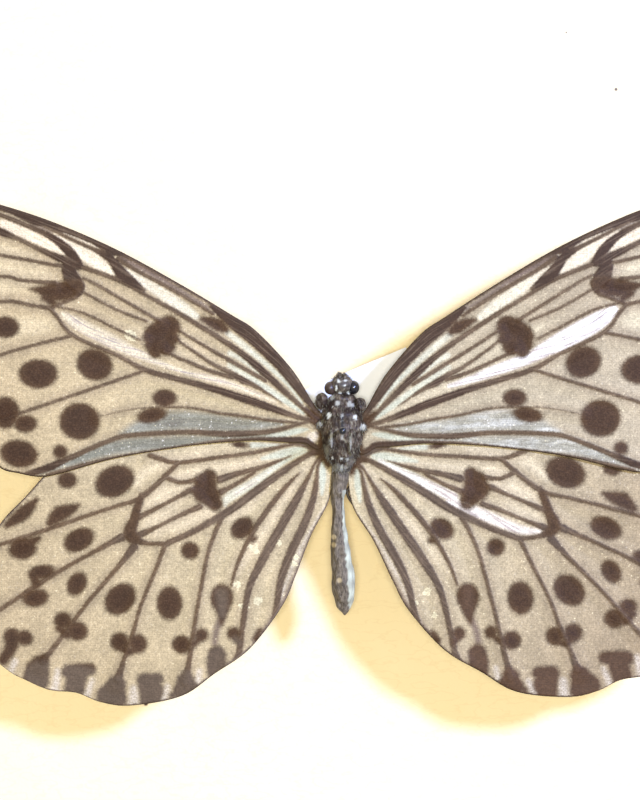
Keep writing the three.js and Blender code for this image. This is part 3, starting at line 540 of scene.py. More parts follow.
# Coats of colour: each new colour is the first one covered by the second as far as the factor says
WING_COATS = (
    ("ground", "reach", "inner", "outer"),
    ("ground", "cream", "ground", "cream"),
    ("ground", "vein_shade", "ground", "#85735A"),
    ("ground", "washed", "ground", "#5E4B43"),
    # The ground where another wing lies under: painted shade, with darker streaks and painted sheen
    ("below", "reach", "under_inner", "under_outer"),
    ("below", "under_dark", "below", "#5E5349"),
    ("below", "painted_sheen_share", "below", "sheen"),
    ("ground", "under", "ground", "below"),
    ("ground", "frosted", "ground", "#BEB29E"),
    ("pale_scales", "reach", "#ABAE94", "#E4CEAB"),
    ("ground", "paled", "ground", "pale_scales"),
    # Painted highlight on the shiny places, streaked with a darker tone; the skin there is also smoother
    ("gloss", "painted_highlight_streak", "gloss", "#9C8E84"),
    ("ground", "shine", "ground", "gloss"),
    # Painted glints
    ("ground", "painted_glint", "ground", "#EFE8D6"),
    ("ground", "dark_fleck", "ground", "#6A5A48"),
    ("ground", "scuffed", "ground", "#C6BA93"),
    ("line", "vein_width", "thin_vein", "thick_vein"),
    ("line", "vein_dust", "line", "#7D6A53"),
    ("shade", "mark_core", "#48331F", "marking"),
    ("shade", "mark_dust", "shade", "#54422F"),
    ("shade", "dusty", "shade", "margin"),
    ("skin", "vein_scales", "ground", "line"),
    ("skin", "rim_scales", "skin", "rim"),
    ("skin", "mark_scales", "skin", "shade"),
)

# Body forms about the long axis: [radius, forward of the pin]. Lumps: the middle and the half sizes.
THORAX_PROFILE = [
    [0.05, -6.4], [0.9, -6.1], [1.5, -5.2], [2.3, -4.0], [2.8, -2.4], [3.05, -0.8], [3.2, 0.6], [3.1, 2.2],
    [2.5, 3.6], [1.7, 4.5], [0.05, 4.9],
]
THORAX_PATH = ((0, -7, BODY_HEIGHT), (0, 6, BODY_HEIGHT))
THORAX_FLATTENING = 0.95
THORAX_LUMPS = {
    "collar": ((0.1, 4.6, 27.7), (2.1, 1.1, 1.6)),
    "root_tuft_left": ((-3.1, 0.9, 28.2), (0.6, 0.8, 0.6)),
    "root_tuft_right": ((3.0, 0.5, 28.2), (0.6, 0.8, 0.6)),
    "ridge_left": ((-1.55, -1.4, 30.1), (0.4, 1.9, 0.6)),
    "ridge_right": ((1.4, -1.6, 30.15), (0.4, 1.9, 0.6)),
    "flap_left": ((-3.0, 4.3, 28.5), (0.95, 1.25, 1.0)),
    "flap_right": ((2.65, 3.8, 28.5), (0.8, 1.05, 1.0)),
}
HEAD_LUMPS = {
    "skull": ((0.0, 6.8, 27.6), (1.75, 1.4, 1.45)),
    "palp_left": ((-0.4, 7.9, 27.9), (0.4, 0.65, 0.9)),
    "palp_right": ((0.45, 7.8, 27.9), (0.4, 0.65, 0.9)),
}
# Each eye's lump, then its two colours and its roughness: the left one has dried dull
EYES = {
    "eye_left": (((-1.75, 6.3, 27.6), (0.9, 1.0, 1.15)), ("#1E1612", "#564438", 0.42)),
    "eye_right": (((1.7, 6.4, 27.6), (0.9, 1.05, 1.15)), ("#0D0E12", "#2C2A2C", 0.2)),
}
ABDOMEN_PROFILE = [
    [0.05, -5.9], [1.15, -6.5], [1.22, -8.0], [1.15, -9.3], [0.88, -10.6], [1.05, -14.4], [1.4, -17.8],
    [1.6, -21.0], [1.75, -23.4], [1.5, -25.2], [0.95, -26.9], [0.05, -28.0],
]
ABDOMEN_DEPTH = 1.15
ABDOMEN_PATH = [
    [-0.2, -6.4, 26.9], [-0.6, -10.6, 26.7], [-0.4, -16.0, 26.2], [0.2, -22.5, 25.5],
    [0.45, -28.0, 25.0],
]
# The segments lie between the tip, which is this far behind the pin, and the end of this span
ABDOMEN_SEGMENTS = 8
ABDOMEN_TIP = 28.0
ABDOMEN_SPAN = 22.0
SEGMENT_SWELL = 0.05
SWELL_MEAN = 0.7
# The pale stripe, a painted highlight down the side towards the key light: its place is measured in half
# widths of the body from the middle line
STRIPE_UNIT = 1.2
STRIPE_PLACES = 40
STRIPE_EDGE = (0.4, 0.62)
STRIPE_FRAY = 0.1
STRIPE_FRAY_SIZE = 1.1
STRIPE_NOTCH = 0.12
STRIPE_FADE = 0.4
STRIPE_START = -9.0
# Cream crumbs that stick to it: [x, forward], and where their edge fades
CRUMBS = ((-1.23, -16.1), (-1.23, -17.3), (-0.4, -22.6))
CRUMB_EDGE = (0.25, 0.5)

# Wrinkles: height, size, how fast they change along the body against across it, and their random draw
WRINKLES = {
    "thorax": ((0.13, 1.1, 0.5, 0), (0.06, 0.5, 0.5, 1)),
    "head": [(0.05, 0.9, 1.0, 5)],
    "abdomen": ((0.09, 0.9, 0.3, 4), (0.07, 2.4, 1.0, 3)),
}
# The rings of each form and the corners of a ring
GRIDS = {"thorax": (60, 64), "head": (40, 48), "eye": (32, 40), "abdomen": (200, 64)}
PROFILE_PLACES = 240
PATH_PLACES = 60
LUMP_PLACES = 15
# How far short of its poles a half circle stops, in radians
POLE_GAP = 0.02
PIN_POLE_GAP = 0.03

# Hair: the way it lies, how the number of the thorax's hairs is divided for each lump, and how its
# heading, length, droop and radius vary
THORAX_FLOW = (0.0, -1.5, 0.1)
HEAD_FLOW = (0.0, 0.3, 0.3)
THORAX_TUFT = 10
HEAD_TUFTS = (4, 12, 12)
HEAD_HAIR_LENGTH = 0.6
HAIR_SPAN = (0.03, 0.97)
HAIR_SPREAD = 0.25
HAIR_LENGTHS = (0.5, 1.3)
HAIR_DROOP = 0.25
HAIR_RADII = (0.7, 1.2)
# A hair's rings lie at these shares of its length; with its tip it has this many corners
SPIKE_SHARES = (0.0, 0.4, 0.75)
SPIKE_TAPER = 0.8
SPIKE_CORNERS = 10
# Directions that no hair and no tube runs along, from which their sides are worked out
HAIR_ASKEW = (0.31, 0.27, 0.91)
TUBE_ASKEW = (0.13, 0.09, 1.0)

TONGUE_RADIUS = 0.16
TONGUE_OUTER = 0.95
TONGUE_INNER = 0.4
TONGUE_TURNS = 1.75
TONGUE_CENTRE = (0.0, 7.3, 24.75)
TONGUE_RINGS = 120
TONGUE_TAPER = 0.5

# Legs from the body out: [out, forward, height, radius]
MIDDLE_LEG = [
    [1.2, 0.4, 25.6, 0.5], [2.2, 0.2, 23.6, 0.42], [5.0, -1.4, 22.8, 0.32], [5.4, -5.6, 22.4, 0.24],
    [6.8, -8.4, 22.1, 0.18],
]
HIND_LEG = [[1.1, -2.6, 25.4, 0.5], [1.6, -3.4, 23.6, 0.42]]
BRUSH_LEG = [[0.8, 3.0, 25.5, 0.34], [1.1, 4.4, 24.5, 0.3], [0.6, 3.0, 23.9, 0.22]]
LEGS = {
    "middle_leg_left": (-1, "leg_middle_left", MIDDLE_LEG),
    "middle_leg_right": (1, "leg_middle_right", MIDDLE_LEG),
    "hind_leg_left": (-1, "leg_hind_left", HIND_LEG + [
        [4.2, -5.6, 22.9, 0.32], [4.4, -9.2, 22.6, 0.24], [5.6, -11.6, 22.4, 0.2]]),
    "hind_leg_right": (1, "leg_hind_right", HIND_LEG + [
        [3.9, -5.8, 22.9, 0.32], [0.9, -9.2, 23.2, 0.24], [2.1, -11.9, 23.6, 0.2]]),
    "brush_leg_left": (-1, "foreleg_left", BRUSH_LEG),
    "brush_leg_right": (1, "foreleg_right", BRUSH_LEG),
}
LEG_RINGS = 70
TUBE_AROUND = 12
# Spines: how many, the rings they grow from, how far they lean along the leg, and their length and
# thickness as a share of the leg's radius
SPINES = 46
SPINE_RINGS = (14, 68)
SPINE_LEAN = 4.0
SPINE_LENGTH = 2.0
SPINE_RADIUS = 0.14

# Pale scale spots on the upper side of the head and thorax: [x, forward, half width, half length, white]
PALE_SPOTS = [
    [-0.45, 7.25, 0.27, 0.25, 0.9], [0.5, 7.4, 0.3, 0.2, 0.8], [0.42, 6.7, 0.16, 0.16, 1.0],
    [-0.87, 6.25, 0.13, 0.42, 1.0], [1.47, 6.35, 0.15, 0.45, 1.0], [-0.3, 5.55, 0.26, 0.16, 0.9],
    [0.95, 5.6, 0.26, 0.18, 1.0], [-1.5, 4.95, 0.4, 0.36, 0.45], [-0.67, 4.05, 0.36, 0.42, 0.6],
    [1.1, 4.05, 0.3, 0.4, 0.45], [1.5, 3.7, 0.3, 0.32, 0.5], [-1.9, 2.2, 0.33, 0.36, 1.0],
    [0.0, 2.15, 0.17, 0.17, 0.8], [1.95, 1.95, 0.3, 0.33, 1.0], [0.06, 1.4, 0.09, 0.22, 0.9],
    [0.02, -1.0, 0.12, 0.3, 0.5], [-1.62, -1.35, 0.2, 1.0, 0.35], [1.3, -1.7, 0.18, 1.1, 0.35],
    [-1.4, -4.2, 0.2, 0.14, 0.8], [-0.15, -4.35, 0.2, 0.14, 0.7], [0.8, -4.4, 0.16, 0.22, 0.6],
    [-0.05, -5.5, 0.14, 0.26, 0.9], [-3.3, 0.9, 0.4, 0.35, 0.4], [3.1, 0.5, 0.4, 0.4, 0.6],
    [-0.5, -5.8, 1.3, 0.7, 0.2], [-2.4, -3.2, 0.5, 1.0, 0.2], [1.2, -4.6, 0.6, 0.9, 0.1],
]
SPOT_FRAY = 0.35
SPOT_FRAY_SIZE = 0.7
SPOT_EDGE = (0.75, 1.25)
# The bare, shiny groove along the back ahead of the pin: its middle and half sizes
GROOVE = (0.02, 1.0, 0.3, 1.15)
GROOVE_EDGE = (0.7, 1.1)
# How pale the dust on the face makes it
FACE_DUST = 0.04

# Pattern sizes of the other materials, in mm. The body's scales are really about 0.15 mm across, the
# lenses of an eye 0.03 mm and paper fibres 0.05 mm thick, and they are drawn coarser so that they show.
GRAIN = {
    "body_scales": 0.35, "body_patches": 1.3, "abdomen_scales": 0.3, "eye_lenses": 0.09, "eye_clouds": 0.8,
    "horn_clouds": 0.7, "pin_wear": 0.5, "paper_fibres": 0.4, "foam_cells": 0.5, "foam_creases": 1.6,
    "foam_clouds": 9.0,
}
# Patterns are drawn out along the body on its skin, and across the board on the foam
HIDE_STRETCH = (1.0, 0.4, 1.0)
ABDOMEN_STRETCH = (1.0, 0.35, 1.0)
CREASE_STRETCH = (0.4, 1.0, 1.0)

# The picture's view: its middle, the height of the lens above the wings and the height it takes in
VIEW_MIDDLE = (-3.3, -0.5)
LENS_HEIGHT = 400.0
VIEW_HEIGHT = 120.0
# The stage, in metres. Lamps: colour, strength, heading from the specimen, distance and width. Their
# colours are linear, because a blue one goes past 1.
CLIP_START = 0.01
FLOOR_REACH = 1.5
FLOOR_DROP = 0.0002
LAMPS = {
    "key_light": ((0.62, 0.79, 1.5), 1.1, (0.503, 0.275, 0.819), 0.6, 0.078),
    "fill_light": ((1.0, 0.96, 0.83), 0.78, (-0.01, 0.0, 1.0), 0.6, 0.08),
}
STUDIO_COLOUR = (1.0, 0.95, 0.83, 1.0)
STUDIO_STRENGTH = 0.45


def linear(code):
    """Turns an sRGB hex code to a linear colour: the standard curve, with its straight foot"""
    share = np.array([int(code[i:i + 2], 16) for i in (1, 3, 5)]) / 255
    value = np.where(share <= 0.04045, share / 12.92, ((share + 0.055) / 1.055) ** 2.4)
    return (*value.tolist(), 1.0)


class WingSettings(bpy.types.PropertyGroup):
    """Sizes and colours of the four wings"""

    thickness: FloatProperty(
        name="Thickness", description="Wing thickness between veins", default=0.3 * MM, unit="LENGTH")
    vein_relief: FloatProperty(
        name="Vein relief", description="How far a vein stands up", default=0.12 * MM, unit="LENGTH")
    sag: FloatProperty(
        name="Sag", description="How far the membrane lies below its veins", default=0.2 * MM,
        unit="LENGTH")
    stations: IntProperty(name="Stations", description="Rings from root to tip", default=380, min=40)
    rows_above: IntProperty(name="Rows above", description="Rows across the upper side", default=170)
    rows_below: IntProperty(name="Rows below", description="Rows across the underside", default=56)
    marking: FloatVectorProperty(
        name="Marking", description="Colour of the dark scales", default=linear("#3A2515")[:3],
        subtype="COLOR", min=0, max=1)


class BodySettings(bpy.types.PropertyGroup):
    """Sizes of the body and its hair, and the colour of its horn"""

    hairs: IntProperty(name="Hairs", description="Hairs on the thorax", default=2200, min=0)
    hair_length: FloatProperty(
        name="Hair length", description="Mean length of a hair", default=0.55 * MM, unit="LENGTH")
    hair_radius: FloatProperty(
        name="Hair radius", description="Radius of a hair at its root", default=0.032 * MM,
        unit="LENGTH")
    horn: FloatVectorProperty(
        name="Horn", description="Darkest colour of the legs and tongue", default=linear("#14100E")[:3],
        subtype="COLOR", min=0, max=1)


class MountSettings(bpy.types.PropertyGroup):
    """Sizes and colours of the pin, the label and the foam board"""

    pin_diameter: FloatProperty(
        name="Pin diameter", description="Diameter of the pin's shaft", default=0.55 * MM, unit="LENGTH")
    pin_head: FloatProperty(
        name="Pin head", description="Diameter of the pin's head", default=1.15 * MM, unit="LENGTH")
    label_length: FloatProperty(
        name="Label length", description="Length of the label", default=28 * MM, unit="LENGTH")
    label_width: FloatProperty(
        name="Label width", description="Width of the label", default=15.5 * MM, unit="LENGTH")
    label_turn: FloatProperty(
        name="Label turn", description="How far the label is turned on the pin",
        default=math.radians(23.0), subtype="ANGLE")
    paper: FloatVectorProperty(
        name="Paper", description="Brightest colour of the label", default=linear("#FAFCFF")[:3],
        subtype="COLOR", min=0, max=1)
    foam: FloatVectorProperty(
        name="Foam", description="Brightest colour of the board", default=linear("#FAE8BC")[:3],
        subtype="COLOR", min=0, max=1)


class StageSettings(bpy.types.PropertyGroup):
    """Lights and floor of the stage"""

    key: FloatProperty(name="Key", description="Strength of the light from one side", default=1.0)
    fill: FloatProperty(name="Fill", description="Strength of the light from above", default=1.0)
    table: FloatVectorProperty(
        name="Table", description="Colour of the floor", default=linear("#C9C8C4")[:3], subtype="COLOR",
        min=0, max=1)


class SpecimenSettings(bpy.types.PropertyGroup):
    """All settings of the specimen"""

    wings: PointerProperty(type=WingSettings)
    body: PointerProperty(type=BodySettings)
    mount: PointerProperty(type=MountSettings)
    stage: PointerProperty(type=StageSettings)


def add_node(tree, kind, links=None, stops=(), **settings):
    """Adds a shader node: settings are its own, links gives a socket's value or the output that feeds it, and
    stops are a colour ramp's places and hex codes"""
    made = tree.nodes.new("ShaderNode" + kind)
    for name, value in settings.items():
        setattr(made, name, value)
    for socket, value in (links or {}).items():
        if isinstance(value, bpy.types.NodeSocket):
            tree.links.new(value, made.inputs[socket])
        else:
            made.inputs[socket].default_value = value
    for place, code in stops[1:-1]:
        made.color_ramp.elements.new(place)
    for index, (place, code) in enumerate(stops):
        made.color_ramp.elements[index].position = place
        made.color_ramp.elements[index].color = linear(code)
    return made


def new_material(name, **shader):
    """An empty material, its tree and its shader, whose plain sockets are set by name"""
    material = bpy.data.materials.new(name)
    material.use_nodes = True
    tree = material.node_tree
    principled = tree.nodes["Principled BSDF"]
    for socket, value in shader.items():
        principled.inputs[socket.replace("_", " ")].default_value = value
    return material, tree, principled


def finish_material(tree, principled, colour, coats=(), rough=None, relief=None, strength=0.3, depth=0.03):
    """Feeds a shader its colour, its roughness where it varies, and a relief of this depth in millimetres.
    The colour is covered by each coat in turn, as far as the coat's factor says."""
    for factor, coat in coats:
        above = linear(coat) if isinstance(coat, str) else coat
        colour = add_node(tree, "Mix", {"Factor": factor, 6: colour, 7: above}, data_type="RGBA").outputs[2]
    tree.links.new(colour, principled.inputs["Base Color"])
    if rough is not None:
        tree.links.new(rough, principled.inputs["Roughness"])
    if relief is not None:
        bump = add_node(tree, "Bump", {
            "Height": relief, "Strength": strength, "Distance": depth * MM})
        tree.links.new(bump.outputs["Normal"], principled.inputs["Normal"])


def smooth_curve(points, count):
    """Evenly spaced places along the uniform Catmull-Rom spline through the points: each span is the cubic
    that leaves and meets its ends along the line between their neighbours"""
    given = np.asarray(points, float)
    given = np.vstack([2 * given[0] - given[1], given, 2 * given[-1] - given[-2]])
    t = np.linspace(0, 1, CURVE_PLACES, endpoint=False)[None, :, None]
    a, b, c, d = given[:-3, None], given[1:-2, None], given[2:-1, None], given[3:, None]
    curve = 0.5 * (2 * b + (c - a) * t + (2 * a - 5 * b + 4 * c - d) * t**2 + (3 * b - a - 3 * c + d) * t**3)
    curve = np.vstack([curve.reshape(-1, given.shape[1]), given[-2]])
    length = np.concatenate([[0], np.cumsum(np.linalg.norm(np.diff(curve, axis=0), axis=1))])
    at = np.linspace(0, length[-1], count)
    return np.stack([np.interp(at, length, column) for column in curve.T], axis=1)


def step(low, high, value):
    """Smooth step: 0 below low, 1 above high, and 3t^2 - 2t^3 between"""
    t = np.clip((value - low) / (high - low), 0, 1)
    return t * t * (3 - 2 * t)


def ripple(place, size, seed):
    """Smooth random height of about -1 to 1: seven sine waves of about one wavelength, in random directions
    and phases, added up and scaled to that height"""
    chance = np.random.default_rng(seed)
    heading = chance.normal(size=(RIPPLE_WAVES, place.shape[-1]))
    heading /= np.linalg.norm(heading, axis=1, keepdims=True)
    stretch = chance.uniform(*RIPPLE_STRETCH, RIPPLE_WAVES)
    phase = chance.uniform(0, 2 * math.pi, RIPPLE_WAVES)
    waves = np.sin(place @ heading.T * (2 * math.pi / size) * stretch + phase)
    return waves.sum(axis=-1) / RIPPLE_HEIGHT


def tube_faces(rings, around):
    """Quads between each ring and the next, and a fan to a pole before the first and after the last"""
    i = np.arange(rings - 1)[:, None] * around
    j = np.arange(around)[None, :]
    k = (j + 1) % around
    quads = np.stack(np.broadcast_arrays(i + j, i + k, i + around + k, i + around + j), -1).reshape(-1, 4)
    first, last = rings * around, rings * around + 1
    j, k = j.ravel(), k.ravel()
    end = (rings - 1) * around
    fan_a = np.stack([np.full(around, first), k, j], 1)
    fan_b = np.stack([np.full(around, last), end + j, end + k], 1)
    return quads, np.vstack([fan_a, fan_b])


def with_poles(rings):
    """The rings' vertices, then the middle of the first and of the last ring"""
    return np.vstack([rings.reshape(-1, 3), rings[0].mean(axis=0), rings[-1].mean(axis=0)])


def joined(parts):
    """Several (vertices, quads, triangles) as one"""
    vertices, quads, triangles, start = [], [], [], 0
    for points, fours, threes in parts:
        vertices.append(points)
        quads.append(fours + start)
        triangles.append(threes + start)
        start += len(points)
    return np.vstack(vertices), np.vstack(quads), np.vstack(triangles)


def make_piece(name, shape, material, replaces=(), attributes=None, smooth=True):
    """A mesh object of the shape, faces outward, that rides on the object and stands for its CAD nodes. The
    faces are turned round where six times the volume inside, the sum of the face corners' triple products,
    is below nought."""
    vertices, quads, triangles = shape
    corners = vertices[np.vstack([quads[:, [0, 1, 2]], quads[:, [0, 2, 3]], triangles])]
    inside = np.einsum("ij,ij->", corners[:, 0], np.cross(corners[:, 1], corners[:, 2]))
    if inside < 0:
        quads, triangles = quads[:, ::-1], triangles[:, ::-1]
    mesh = bpy.data.meshes.new(name)
    mesh.from_pydata((vertices * MM).tolist(), [], quads.tolist() + triangles.tolist())
    if smooth:
        mesh.shade_smooth()
    for label, values in (attributes or {}).items():
        mesh.attributes.new(label, "FLOAT", "POINT").data.foreach_set("value", values.astype(np.float32))
    mesh.validate()
    piece = bpy.data.objects.new(name, mesh)
    bpy.context.scene.collection.objects.link(piece)
    mesh.materials.append(material)
    if replaces:
        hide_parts(*replaces)
    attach(piece, "root")
    return piece


def at_pin(points):
    """Moves points measured from the pin to the object's own frame"""
    return points + np.array([0.0, PIN_Y, 0.0])


def stroke_distance(place, strokes):
    """Distance from each place to the nearest tapering line, less half its width there, where it is below the
    reach. Each line is split into short straight lengths, and the nearest point on a length is found by
    projection. Returns the distances, and the width of the line that each was measured to."""
    nearest = np.full(len(place), STROKE_REACH)
    broad = np.zeros(len(place))
    for points in strokes.values():
        length = sum(math.dist(a[:2], b[:2]) for a, b in zip(points, points[1:]))
        line = smooth_curve(points, max(3, round(length / STROKE_LENGTH)))
        low = line[:, :2].min(axis=0) - 2 * STROKE_REACH
        high = line[:, :2].max(axis=0) + 2 * STROKE_REACH
        near = np.flatnonzero(np.all((place > low) & (place < high), axis=1))
        found, widest = nearest[near], broad[near]
        for start, end in zip(line, line[1:]):
            along = end[:2] - start[:2]
            share = np.clip((place[near] - start[:2]) @ along / (along @ along), 0, 1)
            apart = np.linalg.norm(place[near] - start[:2] - share[:, None] * along, axis=1)
            width = start[2] + share * (end[2] - start[2])
            closer = apart - width / 2 < found
            found[closer] = (apart - width / 2)[closer]
            widest[closer] = width[closer]
        nearest[near], broad[near] = found, widest
    return nearest, broad


def spot_distance(place, spots):
    """Distance from each place to the nearest ellipse's edge, below nought inside it: the scaled radius less
    one, times the mean half size"""
    nearest = np.full(len(place), 1e3)
    for out, forward, half_length, half_width, turn in spots:
        angle = math.radians(turn)
        x, y = (place - [out, forward]).T
        along = (x * math.cos(angle) + y * math.sin(angle)) / half_length
        across = (y * math.cos(angle) - x * math.sin(angle)) / half_width
        mean = math.sqrt(half_length * half_width)
        np.minimum(nearest, (np.hypot(along, across) - 1) * mean, out=nearest)
    return nearest


def streaks(stations, rows, length, seed):
    """Random streaks of 0 to 1 that run along the wing: one random number for every row at each of a few
    stations, with straight lines between the stations"""
    chance = np.random.default_rng(seed)
    knots = chance.uniform(0, 1, (length, rows))
    at = np.linspace(0, length - 1.001, stations)
    first = at.astype(int)
    share = (at - first)[:, None]
    return knots[first] * (1 - share) + knots[first + 1] * share


def wing_form(wing, droop):
    """One wing flat on its own [out, forward] plane. A place is the leading edge plus a share of the way to
    the trailing edge at the same share of each edge's length; rows run over the upper side and back under.
    Its height is slow waves, less the sag between veins and the droop, plus half the thickness and a vein's
    relief on the side that the row is on. Returns the places, heights and attributes of the rings."""
    settings = bpy.context.scene.specimen.wings
    stations = settings.stations
    lead = smooth_curve(wing["leading"], stations + 1)[:-1]
    trail = smooth_curve(wing["trailing"], stations + 1)[:-1]
    above = np.linspace(0, 1, settings.rows_above)
    below = np.linspace(1, 0, settings.rows_below + 2)[1:-1]
    share = np.concatenate([above, below])
    up = np.concatenate([np.ones(len(above)), -np.ones(len(below))])
    place = lead[:, None] + share[None, :, None] * (trail - lead)[:, None]
    flat = place.reshape(-1, 2)
    width = np.linalg.norm(trail - lead, axis=1)
    to_edge = (np.minimum(share, 1 - share)[None] * width[:, None]).ravel()
    side = np.broadcast_to(up, place.shape[:2]).ravel()
    vein, broad = stroke_distance(flat, wing["veins"])
    mark = np.minimum(stroke_distance(flat, wing["marks"])[0], spot_distance(flat, wing["spots"]))
    thickness = settings.thickness / MM
    round_edge = np.sqrt(1 - (1 - np.clip(to_edge / EDGE_ROUND, 0, 1)) ** 2)
    raised = 1 - step(*VEIN_FLANK, vein)
    hollow = step(0.0, HOLLOW_REACH, vein)
    streak = streaks(stations, len(share), STREAK_KNOTS, SEED + WING_DRAW).ravel()
    height = WING_WAVE * ripple(flat, WING_WAVE_LENGTH, SEED + WING_DRAW) - settings.sag / MM * hollow
    height -= droop * step(DROOP_FROM, 1.0, np.broadcast_to(share, place.shape[:2]).ravel())
    height += side * round_edge * (thickness / 2 + settings.vein_relief / MM * raised)
    attributes = {"vein": vein, "broad": broad, "mark": mark, "rim": to_edge, "streak": streak,
                  "reach": np.linalg.norm(flat, axis=1) / WING_REACH}
    for label, soft in WING_ZONES.items():
        attributes[label] = 1 - step(-soft, soft, stroke_distance(flat, wing.get(label, {}))[0])
    return place, height.reshape(place.shape[:2]), attributes


def set_wing(place, height, base, sit, side):
    """The wing's rings in place: tipped up by its lift, turned and moved as it sits, and mirrored to its
    side"""
    out = place[..., 0] - WING_ROOT[0]
    forward = place[..., 1] - WING_ROOT[1]
    lift = math.radians(WING_LIFT)
    level = out * math.cos(lift) - height * math.sin(lift)
    up = out * math.sin(lift) + height * math.cos(lift)
    angle = math.radians(sit["turn"])
    x = level * math.cos(angle) - forward * math.sin(angle) + WING_ROOT[0] + sit["move"][0]
    y = level * math.sin(angle) + forward * math.cos(angle) + WING_ROOT[1] + sit["move"][1]
    return at_pin(np.stack([side * x, y, up + base], -1))


def wing_material(name, colours):
    """Dried butterfly wing: a pale papery membrane under a thin coat of scales, dark along the veins and in
    the spots. The scales give it a grainy skin with painted glints, and its marks soft, dusty edges. Its
    shiny places carry a painted highlight, and where another wing lies under it the ground is painted shade
    with painted sheen."""
    material, tree, principled = new_material(name, IOR=1.5, Specular_IOR_Level=0.12)
    position = add_node(tree, "TexCoord").outputs["Object"]
    value = {"wash_share": WASH_SHARE}
    for label in ("vein", "broad", "mark", "rim", "scuff", "shine", "reach", "streak", *WING_ZONES):
        value[label] = add_node(tree, "Attribute", attribute_name=label).outputs["Fac"]
    for label, (size, detail) in WING_NOISES.items():
        value[label] = add_node(tree, "TexNoise", {
            "Vector": position, "Scale": 1 / (size * MM), "Detail": detail, "Roughness": 0.65}).outputs["Fac"]
    stretched = add_node(tree, "Mapping", {"Vector": position, "Scale": PAINTED_SHEEN_STRETCH})
    value["satin"] = add_node(tree, "TexNoise", {
        "Vector": stretched.outputs["Vector"], "Scale": 1 / (PAINTED_SHEEN_PATCH * MM), "Detail": 3.0}).outputs["Fac"]
    value["flecks"] = add_node(tree, "TexVoronoi", {
        "Vector": position, "Scale": 1 / (SCALE_FLECK * MM)}).outputs["Color"]
    for label, direction in (("rows_x", "X"), ("rows_y", "Y")):
        value[label] = add_node(tree, "TexWave", {
            "Vector": position, "Scale": WAVE_PERIOD / (SCALE_ROW * MM), "Distortion": 1.5, "Detail": 0.0},
            bands_direction=direction).outputs["Fac"]
    both = add_node(tree, "Math", {
        0: value["grain"], 1: value["tufts"]}, operation="ADD").outputs[0]
    uneven = add_node(tree, "Math", {0: both, 1: 1.0}, operation="SUBTRACT").outputs[0]
    for label, amount in WING_FRAY.items():
        value[f"{label}_frayed"] = add_node(tree, "Math", {
            0: uneven, 1: amount, 2: value[label]}, operation="MULTIPLY_ADD").outputs[0]
    for label, (source, low, high, to_low, to_high) in WING_RANGES.items():
        value[label] = add_node(tree, "MapRange", {
            "Value": value[source], "From Min": low, "From Max": high, "To Min": to_low, "To Max": to_high},
            interpolation_type="SMOOTHSTEP").outputs["Result"]
    for label, (first, second) in WING_PRODUCTS.items():
        value[label] = add_node(tree, "Math", {
            0: value[first], 1: value[second]}, operation="MULTIPLY").outputs[0]
    colour = {label: linear(code) for label, code in colours.items()}
    colour["marking"] = (*bpy.context.scene.specimen.wings.marking, 1.0)
    for label, factor, first, second in WING_COATS:
        coats = [colour[coat] if coat in colour else linear(coat) for coat in (first, second)]
        colour[label] = add_node(tree, "Mix", {
            "Factor": value[factor], 6: coats[0], 7: coats[1]}, data_type="RGBA").outputs[2]
    skin = add_node(tree, "VectorMath", {0: colour["skin"], "Scale": value["texture"]},
                    operation="SCALE").outputs[0]
    rise = add_node(tree, "Math", {
        0: value["streak"], 1: STREAK_RELIEF, 2: value["grain"]}, operation="MULTIPLY_ADD").outputs[0]
    finish_material(tree, principled, skin, (), value["roughness"], rise, strength=0.4, depth=0.05)
    return material


class SPECIMEN_OT_wings(bpy.types.Operator):
    """Builds the two forewings and the two hindwings"""

    bl_idname = "specimen.wings"
    bl_label = "Wings"

    def execute(self, context):
        wings = {"fore": (FOREWING, FOREWING_HEIGHT), "hind": (HINDWING, HINDWING_HEIGHT)}
        for pair, (wing, base) in wings.items():
            place, height, shared = wing_form(wing, WING_DROOP[pair])
            flat = place.reshape(-1, 2)
            for name, body_side in SIDES.items():
                sit = body_side[pair]
                attributes = {
                    **shared,
                    "shine": 1 - step(-SHINE_FADE, SHINE_FADE, stroke_distance(flat, sit["shine"])[0]),
                    "scuff": 1 - step(-SCUFF_FADE, SCUFF_FADE, spot_distance(flat, sit["scuffs"])),
                }
                rings = set_wing(place, height, base, sit, body_side["side"])
                ends = {
                    label: np.append(values, [values[0], values[-1]]) for label, values in attributes.items()
                }
                shape = (with_poles(rings), *tube_faces(*rings.shape[:2]))
                material = wing_material(f"{pair}wing_scales_{name}", WING_COLOURS[f"{pair}_{name}"])
                make_piece(f"{pair}wing_{name}_scaled", shape, material,
                           [f"{pair}wing_{name}"], ends)
        return {"FINISHED"}


def lump_form(centre, half):
    """An ellipsoid as a body form: its profile is a half circle stretched to its half sizes"""
    x, y, z = centre
    angle = np.linspace(POLE_GAP, math.pi - POLE_GAP, LUMP_PLACES)
    profile = np.stack([half[0] * np.sin(angle), y - half[1] * np.cos(angle)], 1)
    return {"profile": profile, "path": [[x, y - 1, z], [x, y + 1, z]], "depth": half[2] / half[0]}


def body_surface(form, share, angle):
    """A place on a body form: its profile carried along its path, flattened by its depth. The place is the
    path's middle there, plus the profile's radius times the cosine across and the sine up."""
    profile = smooth_curve(form["profile"], PROFILE_PLACES)
    path = smooth_curve(form["path"], PATH_PLACES)
    path = path[np.argsort(path[:, 1])]
    at = np.linspace(0, 1, len(profile))
    radius = np.interp(share, at, profile[:, 0])
    forward = np.interp(share, at, profile[:, 1])
    x = np.interp(forward, path[:, 1], path[:, 0]) + radius * np.cos(angle)
    z = np.interp(forward, path[:, 1], path[:, 2]) + radius * form["depth"] * np.sin(angle)
    return np.stack(np.broadcast_arrays(x, forward, z), -1)


